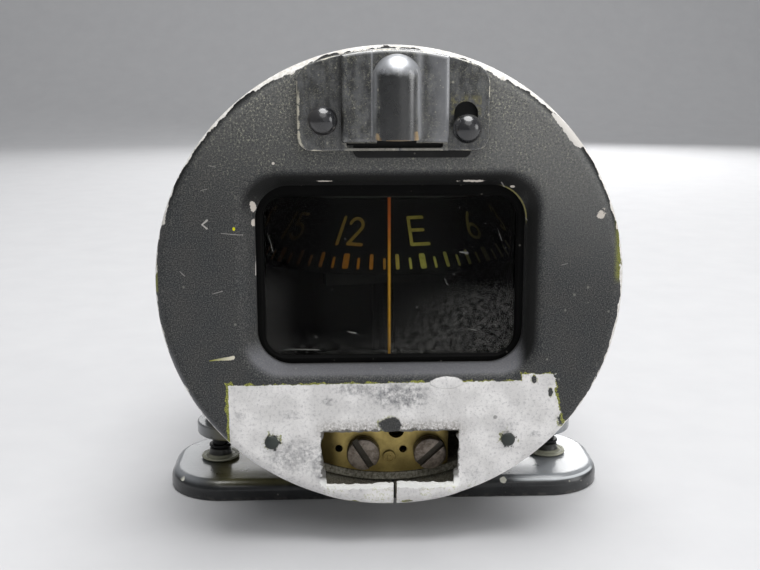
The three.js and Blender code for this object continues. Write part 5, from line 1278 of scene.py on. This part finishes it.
def make_ticks():
    """The card's ticks, one every five degrees, on the leaning band."""
    blank = slab(lambda inset: rounded(inset - 0.5, 0.5 - inset, inset, 1 - inset, 0.18, 3), -0.12, 0.02, (0.05, 0))
    lean = math.atan((BAND_RADIUS - BAND_TOP_RADIUS) / (BAND_TOP - BAND_BOTTOM))
    t = Repeat("card ticks", blank, Count=72, Radius=band_radius(TICK_FOOT), Lean=lean, First=math.radians(HEADING))
    turn = t.entry["First"] - t.index * (2 * math.pi / t.entry["Count"])
    x = t.math("SINE", turn) * t.entry["Radius"]
    y = t.math("COSINE", turn) * (t.entry["Radius"] * -1.0) + CARD_Y
    tens = t.math("COMPARE", t.math("MODULO", t.index, 2.0), 0.0)
    thirty = t.math("COMPARE", t.math("MODULO", t.index, 6.0), 0.0)
    size = t.vector(0.5 + (tens * 0.22 + thirty * 0.5), 1.0, 2.4 + tens * 0.85)
    return t.made(t.vector(x, y, TICK_FOOT), card_marks, t.vector(t.entry["Lean"] * -1.0, 0.0, turn), size)


band = turned(
    [(BAND_RADIUS - BAND_SHEET, BAND_BOTTOM), (BAND_RADIUS, BAND_BOTTOM), (BAND_TOP_RADIUS, BAND_TOP),
     (BAND_TOP_RADIUS - BAND_SHEET, BAND_TOP)],
    144, "z", y=CARD_Y,
)
piece(band, "card_cone", card_black, "card_paint", "card_band", body="card")
piece(make_numerals(), "card_numerals", card_marks, "card_paint", body="card")
piece(make_ticks(), "card_ticks", card_marks, "card_paint", body="card")


# ------------------------------------------------------------- compensator
# Each adjusting shaft's name, its x and how far its slot is turned, in degrees
ADJUSTERS = (("ns", -5.2, 58), ("ew", 7.8, -43))
ADJUSTER_Z = -34.9
PILLAR = dict(x=-0.1, z=-36.15)


def make_compensator_plate():
    """The front plate: straight above and at its sides, round below."""
    left, right, top, reach = -14.5, 11.5, -24.3, 39.4
    outline = [p for p in arc(0, 0, reach, 248.4, 286.97, 40) if left <= p[0] <= right]
    outline = [(left, top), (left, -math.sqrt(reach**2 - left**2))] + outline
    outline += [(right, -math.sqrt(reach**2 - right**2)), (right, top)]
    plate = softened(lofted([flat_section(outline, y) for y in (8.9, 10.9)]), 0.15, 2, 60)
    holes = [(radius, x, z) for _, x, _ in ADJUSTERS for radius, z in ((1.8, ADJUSTER_Z), (1.1, -28.7))]
    holes += [(1.2, PILLAR["x"], PILLAR["z"]), (1.2, 1.3, -26.4), (1.6, 1.3, -30.8)]
    holes += [(0.75, -9.95, -34.4), (0.75, 2.65, -34.7)]
    return cut(plate, *[rod(radius, 8, 12, x=x, z=z) for radius, x, z in holes])


def make_adjusting_shaft(x, slot_turn):
    z = ADJUSTER_Z
    head = [(0, 6.3), (2.75, 6.3), (3.05, 6.42), (3.2, 6.7), (3.2, 8.6), (1.5, 8.6), (1.5, 12.5), (0.8, 12.5),
            (0.8, 22.6), (0, 22.6)]
    shaft = turned(head, 56, x=x, z=z)
    slot = block(-5, 5, 5.3, 7.35, -0.65, 0.65)
    spin = Matrix.Translation((x, 0, z)) @ Matrix.Rotation(math.radians(slot_turn), 4, "Y")
    slot.data.transform(spin)
    join(shaft, make_gear(x, z))
    return cut(shaft, slot)


def make_gear(x, z):
    outline = []
    for i in range(16):
        for radius, share in ((2.6, -0.25), (3.35, -0.11), (3.35, 0.11), (2.6, 0.25)):
            a = math.radians((i + 0.25 + share) * 22.5)
            outline.append((x + radius * math.cos(a), z + radius * math.sin(a)))
    return lofted([flat_section(outline, y) for y in (11.2, 13.8)])


piece(make_compensator_plate(), "compensator_face", soiled_brass, "brass", "compensator_front_plate")
for name, x, slot_turn in ADJUSTERS:
    shaft, node = make_adjusting_shaft(x, slot_turn), f"{name}_adjusting_shaft"
    piece(shaft, f"{name}_adjusting_screw", screw_bronze, "brass", node, body=f"{name}_adjuster")
pin = turned(
    [(0, 8.35), (0.35, 8.35), (0.42, 8.45), (0.8, 8.45), (0.85, 8.3), (1.2, 8.3), (1.25, 8.35), (1.25, 8.6),
     (0.9, 8.6), (0.9, 11.2), (1.3, 11.2), (1.3, 20.5), (0.9, 20.5), (0.9, 22.6), (0, 22.6)],
    32, **PILLAR,
)
piece(pin, "compensator_pin", brass, "brass", "compensator_pillar_lower")


# -------------------------------------------------------------------- lamp
HOOD_BACK, HOOD_FRONT, CHANNEL_FRONT, DOME_FRONT = -1.2, -2.1, -4.6, -8.4
DOME_RADIUS = 4.3


def bullet(radius, top, bottom):
    """A round-topped post at the lamp's place."""
    profile = [(0, bottom), (radius, bottom)] + arc(0, top - radius, radius, 0, 90, 14)
    profile[-1] = (0, top)
    return turned(profile, 48, "z", x=LAMP_X, y=DOME_RADIUS + DOME_FRONT)


def make_lamp_hood():
    flange = slab(rim_outline(-16.6, 17.2, 24.7, 2.5, HOOD_RIM, shoulder=3.6), HOOD_FRONT, HOOD_BACK, (0.35, 0.1))
    channel = slab(rim_outline(-8.9, 9.9, 26.2, 0.5, HOOD_RIM), CHANNEL_FRONT, HOOD_BACK - 0.3, (0.9, 0.0), steps=6)
    hollow = slab(rim_outline(-8.0, 9.0, 25.2, 0.5, 41.4), CHANNEL_FRONT + 0.9, HOOD_BACK + 1, (0.5, 0.0), steps=4)
    dome = common(bullet(DOME_RADIUS, 41.5, 26.9), block(-40, 40, -12, HOOD_FRONT, 0, 43))
    well = bullet(3.45, 40.65, 25.9)
    slot = slab(lambda inset: rounded(10.9, 15.1, 26.1, 33.3, 2.1, 10), -3.1, 0, (0, 0))
    join(flange, channel, dome)
    return cut(flange, hollow, well, slot, *rods(STUDS[:1], 1.5, -3.1, 0, 32))


def make_lamp_plate():
    plate = slab(rim_outline(-16.4, 17.0, 25.6, 2.5, 42.1, shoulder=3.6), -0.9, -0.3, (0.12, 0.1))
    tongue = slab(lambda i: rounded(i - 6.8, 14.1 - i, 23.4 + i, 28.7, 1.2 - i), -0.9, -0.3, (0.12, 0.1))
    holes = rods(STUDS, 1.5, -2, 1, 32)
    join(plate, tongue)
    return cut(plate, lamp_port(-2, 1), *holes)


def make_stud(x, z):
    neck = math.degrees(math.asin(1.2 / 2.6))
    profile = [(max(r, 0), y) for r, y in arc(0, -4.4, 2.6, -90, 90 - neck, 24)]
    profile[0] = (0, profile[0][1])
    return turned(profile + [(1.2, 10.5), (0, 10.5)], 48, x=x, z=z)


piece(make_lamp_hood(), "hood_pressing", hood_enamel, "black_enamel", "lamp_hood", body="lamp")
piece(make_lamp_plate(), "hood_backing", backing_enamel, "black_enamel", "lamp_plate")
for side, (x, z) in zip(("left", "right"), STUDS):
    piece(make_stud(x, z), f"ball_stud_{side}", stud_enamel, "black_enamel", f"stud_{side}")


# ------------------------------------------------------------------ casting
def make_case():
    flange_front, flange_back, flange_radius = 9.3, 12.3, 41.3
    wall, bay_half, bay_top, bay_back, bay_bottom = 2.5, 19.5, -21, 25.4, -42.3
    chamber_back = 77.5
    barrel = turned(
        [(0, CASE_FRONT), (39.3, CASE_FRONT), (39.3, flange_back)]
        + arc(39.3, 14.1, 1.8, -90, -180, 6)
        + arc(33.5, chamber_back, 4, 0, 90, 10)
        + [(0, CASE_BACK)],
        128, z=BARREL_Z,
    )
    flange = turned(
        [(0, flange_front), (41.1, flange_front), (flange_radius, 9.5), (flange_radius, 12.0), (41.0, flange_back),
         (0, flange_back)],
        128,
    )
    bay_block = softened(block(-bay_half, bay_half, CASE_FRONT, bay_back, bay_bottom, bay_top), 1.2, 4)
    common(bay_block, rod(flange_radius, flange_front, bay_back, steps=128))
    pad = slab(lambda i: rounded(i - 16, 16 - i, 28 + i, 46 - i, 2 - i), -37.0, -30, (0.3, 0), "z")
    filler = turned([(0, 31), (6, 31), (6, 39.5), (5.7, 39.9), (0, 39.9)], 48, "z", y=FILLER_Y)
    join(barrel, flange, pad, filler, bay_block)
    chamber = turned(
        [(0, flange_back), (34.5, flange_back)] + arc(31.5, 74.5, 3, 0, 90, 5) + [(0, chamber_back)], 96, z=BARREL_Z
    )
    cut(chamber, block(-bay_half, bay_half, CASE_FRONT, bay_back, bay_bottom - 1, bay_top))
    hollow = block(wall - bay_half, bay_half - wall, 8.3, bay_back - wall, bay_bottom + 1, -24)
    bay = common(hollow, rod(39.7, 8.3, bay_back - wall, steps=96))
    view = slab(centred(23.5, 15.3, -0.1, 4), 8.3, 13.3, (0, 0))
    bosses = rods(STUDS, 3.5, 1.5, CASE_FRONT, 32) + rods(RIVETS, 3.0, 1.5, CASE_FRONT, 32)
    bosses.append(rod(6.5, -34.1, -30.9, "z", y=CARD_Y, steps=32))
    bores = rods(STUDS, 1.5, 0.5, CASE_FRONT, 24) + rods(RIVETS, RIVET_HOLE, 0.5, 9.6, 16)
    bores += rods(FRAME_SCREWS, 1.1, 8.3, 11.5, 16) + rods(REAR_SCREWS, REAR_SCREW_HOLE, 79.0, 82.5, 16)
    bores += [rod(1.7, -38, -34.1, "z", x=x, y=FOOT_Y, steps=16) for x in (-PLATE_SCREW_X, PLATE_SCREW_X)]
    bores += [rod(2.3, 31, 41, "z", y=FILLER_Y, steps=24), rod(12, 76, 82.5, z=BARREL_Z, steps=64)]
    bores.append(block(-0.58, 0.58, 8.3, 11.08, -16.9, 16.7))
    cut(barrel, chamber)
    join(barrel, *bosses)
    return cut(barrel, bay, view, *bores)


piece(make_case(), "case_casting", case_enamel, "case_paint", "case_body", sharp=30)


# --------------------------------------------------------------------- rear
REAR_FRONT, REAR_BACK = 83.7, 85.2


def make_rear_cover():
    cover = turned(
        [(0, 88.6)] + arc(18, 86.6, 2, 90, 0, 8) + arc(20.8, 86.0, 0.8, 180, 270, 4)
        + arc(28.1, 84.8, 0.4, 90, 0, 4) + [(28.5, REAR_FRONT), (18.5, REAR_FRONT)]
        + arc(17.25, 85.85, 1.25, 0, 90, 5) + [(0, 87.1)],
        96, z=BARREL_Z,
    )
    return cut(cover, rod(1, 83, 90, z=BARREL_Z, steps=24), *rods(REAR_SCREWS, REAR_SCREW_HOLE, 83, 86, 16))


def make_rear_screws():
    """Slotted round-head screws on a circle, each slot turned its own way."""
    profile = [(0, 1.5), (0.8, 1.46), (1.5, 1.2), (2.0, 0.8), (2.2, 0.4), (2.2, 0), (1.1, 0), (1.1, -6.2), (0, -6.2)]
    shape = cut(turned(profile, 32), block(-4, 4, 0.75, 2.5, -0.28, 0.28))
    t = Repeat("screws on a circle", shape, Count=4, Radius=REAR_SCREW_RADIUS, Depth=REAR_BACK + 0.3, Seed=5)
    turn = (t.index + 0.5) / t.entry["Count"] * (2 * math.pi)
    x = t.math("COSINE", turn) * t.entry["Radius"]
    z = t.math("SINE", turn) * t.entry["Radius"] + BARREL_Z
    chance = t.node("FunctionNodeRandomValue", {2: 0.0, 3: 3.1, "Seed": t.entry["Seed"]}, data_type="FLOAT")[1]
    return t.made(t.vector(x, t.entry["Depth"], z), steel, t.vector(0.0, chance, 0.0))


piece(make_rear_cover(), "rear_lid", case_enamel, "case_paint", "rear_cover")
piece(make_rear_screws(), "rear_screws", steel, "steel", *[f"rear_cover_screw_{i}" for i in (1, 2, 3, 4)])
washer = turned([(2.3, 40.2), (4.7, 40.2), (4.8, 40.3), (4.8, 40.6), (4.7, 40.7), (2.3, 40.7)], 48, "z", y=FILLER_Y)
piece(washer, "filler_seal", rubber, "rubber", "filler_washer")
plug = turned([(0, 37.5), (2, 37.5), (2, 41), (4.2, 41), (4.2, 41.8), (3.9, 42.1), (0, 42.1)], 48, "z", y=FILLER_Y)
cut(plug, block(-6, 6, FILLER_Y - 0.5, FILLER_Y + 0.5, 41.5, 43))
piece(plug, "filler_screw", brass, "brass", "filler_plug")


# --------------------------------------------------------- foot and mounts
def make_mounting_plate():
    plate = slab(lambda i: rounded(i - 41.2, 41.2 - i, 29 + i, 45 - i, 8 - i, 16), -40.0, -37.3, (0.4, 0.4), "z")
    holes = [
        rod(radius, -42, -36, "z", x=side * x, y=FOOT_Y, steps=steps)
        for radius, x, steps in ((2.0, MOUNT_X, 32), (1.7, PLATE_SCREW_X, 24))
        for side in (-1, 1)
    ]
    return cut(plate, *holes)


def upright(profile, x, steps):
    """A profile turned about an upright line through the middle of the foot's depth."""
    return turned(profile, steps, "z", x=x, y=FOOT_Y)


def make_base():
    half_x, half_y, corner, shoulder, sink_x = 46.6, 15.3, 12.0, 2.2, 22

    def outline(inset, z):
        flat = rounded(
            inset - half_x, half_x - inset, FOOT_Y - half_y + inset, FOOT_Y + half_y - inset, corner - inset, 16
        )
        return [(x, y, z) for x, y in flat]

    layers = [outline(0.3, BASE_BOTTOM), outline(0.0, BASE_BOTTOM + 0.3)]
    layers += [outline(shoulder - x, BASE_TOP - shoulder + y) for x, y in arc(0, 0, shoulder, 0, 90, 10)]
    sink = [(0, -52), (2.1, -52), (2.1, -48.1), (3.9, -46.3), (3.9, -45), (0, -45)]
    holes = []
    for side in (-1, 1):
        x = side * MOUNT_X
        holes += [rod(3.2, -51, -45, "z", x=x, y=FOOT_Y), rod(5.5, -52, -48.3, "z", x=x, y=FOOT_Y)]
        holes.append(upright(sink, side * sink_x, 48))
    return cut(lofted(layers), *holes)


GROMMET = [
    (2.0, -49.3), (4.0, -49.3), (4.2, -49.15), (4.2, -48.75), (4.0, -48.6), (2.9, -48.6), (2.9, -46.0), (4.0, -46.0),
    (4.15, -45.85), (4.05, -45.55), (3.75, -45.45), (3.2, -45.6), (2.7, -45.4), (2.4, -45.0), (2.3, -44.05),
    (2.15, -43.9), (2.0, -43.9),
]
MOUNT_SCREW = [
    (0, -50.3), (3.0, -50.3), (3.2, -50.1), (3.2, -49.6), (1.7, -49.6), (1.7, -43.6), (2.3, -43.6), (2.4, -43.5),
    (2.4, -43.1), (2.3, -43.0), (1.7, -43.0), (1.7, -34.5), (1.5, -34.3), (0, -34.3),
]
MOUNT_NUT = [(0, -37.0), (3.0, -37.0), (3.2, -36.85), (3.2, -35.05), (3.0, -34.9), (0, -34.9)]
PLATE_SCREW = [
    (0, -41.7), (0.9, -41.66), (1.7, -41.45), (2.4, -41.15), (2.8, -40.8), (2.8, -40.3), (1.4, -40.3), (1.4, -34.4),
    (0, -34.4),
]


def make_mount_screw(x):
    return join(upright(MOUNT_SCREW, x, 32), upright(MOUNT_NUT, x, 6))


def make_plate_screw(x):
    slot = block(x - 4, x + 4, FOOT_Y - 0.35, FOOT_Y + 0.35, -42.7, -41.0)
    return cut(upright(PLATE_SCREW, x, 32), slot)


piece(make_mounting_plate(), "mount_bar", base_enamel, "black_enamel", "mounting_plate")
piece(make_base(), "foot_base", base_enamel, "black_enamel", "base")
for side, x in (("left", -MOUNT_X), ("right", MOUNT_X)):
    grommet = upright(GROMMET, x, 48)
    piece(grommet, f"grommet_{side}", dusty_rubber, "rubber", f"shock_grommet_{side}")
    piece(make_mount_screw(x), f"mount_stud_{side}", black_steel, "steel", f"shock_mount_screw_{side}")
for side, x in (("left", -PLATE_SCREW_X), ("right", PLATE_SCREW_X)):
    piece(make_plate_screw(x), f"bar_screw_{side}", steel, "steel", f"mounting_plate_screw_{side}")

# ------------------------------------- CAD pieces that keep their own shape
KEPT = {
    rubber: ("window_gasket", "rear_gasket"),
    bright_sheet: ("diaphragm",),
    # These inner parts take the card's black as painted shade: the chamber shows dark
    card_black: ("card_web", "float_lower", "float_upper", "magnet_carrier", "jewel_post"),
    black_steel: ("card_magnet_left", "card_magnet_right", *[f"glass_frame_screw_{i}" for i in (1, 2, 3, 4)]),
    steel: ("pivot_needle", "ns_magnet", "ew_magnet", "ns_counter_magnet", "ew_counter_magnet"),
    brass: ("jewel_cup", "compensator_rear_plate", "compensator_pillar_upper",
            "ns_counter_shaft", "ew_counter_shaft", "lamp_socket"),
    jewel: ("jewel_stone",),
    bulb_glass: ("lamp_bulb",),
}
for material, names in KEPT.items():
    for name in names:
        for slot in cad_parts[name].material_slots:
            slot.material = material


def copied(node):
    """A CAD solid's own shape as a piece in the face frame."""
    mesh = welded(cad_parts[node].data.copy(), 1e-7)
    mesh.transform(IN_FACE)
    return shown(node, mesh)


# The spring under the jewel keeps its CAD shape, with a mesh of its own
coil = piece(copied("jewel_spring"), "jewel_coil", steel, "steel", "jewel_spring")
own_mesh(coil)


# ------------------------------------------------- floor, lights and camera
def make_floor():
    """A pale floor that turns up into a backdrop."""
    floor_z = IN_PLACE @ Vector((0, 0, BASE_BOTTOM))
    profile = [(-1.2, 0.0)] + [(0.9 + 0.4 * math.sin(a), 0.4 - 0.4 * math.cos(a)) for a in
                               [math.pi / 2 * i / 12 for i in range(13)]] + [(1.3, 1.6)]
    verts = [(x, y, z + floor_z.z) for y, z in profile for x in (-5.0, 5.0)]
    faces = [(2 * i, 2 * i + 1, 2 * i + 3, 2 * i + 2) for i in range(len(profile) - 1)]
    mesh = plain_mesh("floor", verts, faces)
    floor = shown("floor", mesh)
    f = Finish("pale_floor")
    f.place = f.node("ShaderNodeTexCoord")["Object"]
    tone = f.noise(60, 4, 0.6)
    mesh.materials.append(f.set(Base_Color=f.mix(tone, srgb(194, 194, 196), srgb(204, 204, 205)), Roughness=0.9))
    mesh.shade_smooth()


def add_area(name, spot, target, size, power):
    data = bpy.data.lights.new(name, "AREA")
    data.shape, data.size, data.energy = "DISK", size, power
    lamp = shown(name, data)
    lamp.visible_camera = False
    lamp.location = spot
    lamp.rotation_euler = (Vector(target) - Vector(spot)).to_track_quat("-Z", "Y").to_euler()


make_floor()
add_area("ceiling", (0.08, -0.05, 0.92), (0, 0.0, 0.05), 0.75, 9.0)
add_area("back", (0.2, 0.8, 0.34), (0, 0, 0.03), 0.5, 2.8)
add_area("back_left", (-0.2, 0.8, 0.3), (0, 0, 0.03), 0.26, 0.35)
add_area("right", (0.8, -0.3, 0.25), (0, 0, 0.05), 0.45, 1.6)
add_area("front_ceiling", (0.05, -0.5, 0.72), (0, 0, 0.05), 0.7, 1.7)
add_area("fill", (0.4, -0.75, 0.35), (0, 0, 0.05), 0.8, 0.5)

world = bpy.data.worlds.new("studio")
bpy.context.scene.world = world
world.use_nodes = True
world.node_tree.nodes["Background"].inputs[0].default_value = (0.8, 0.82, 0.85, 1)
world.node_tree.nodes["Background"].inputs[1].default_value = 0.25

camera = shown("camera", bpy.data.cameras.new("camera"))
camera.location = IN_PLACE @ Vector((-8.4, -195.6, 41.6))
camera.rotation_euler = (IN_PLACE @ Vector((0, 0, 0)) - camera.location).to_track_quat("-Z", "Y").to_euler()
camera.data.sensor_width = 36
camera.data.lens = 52.0
camera.data.shift_x = -0.0151
camera.data.shift_y = 0.0013
camera.data.clip_start = 0.01
bpy.context.scene.camera = camera
bpy.context.scene.view_settings.view_transform = "Standard"
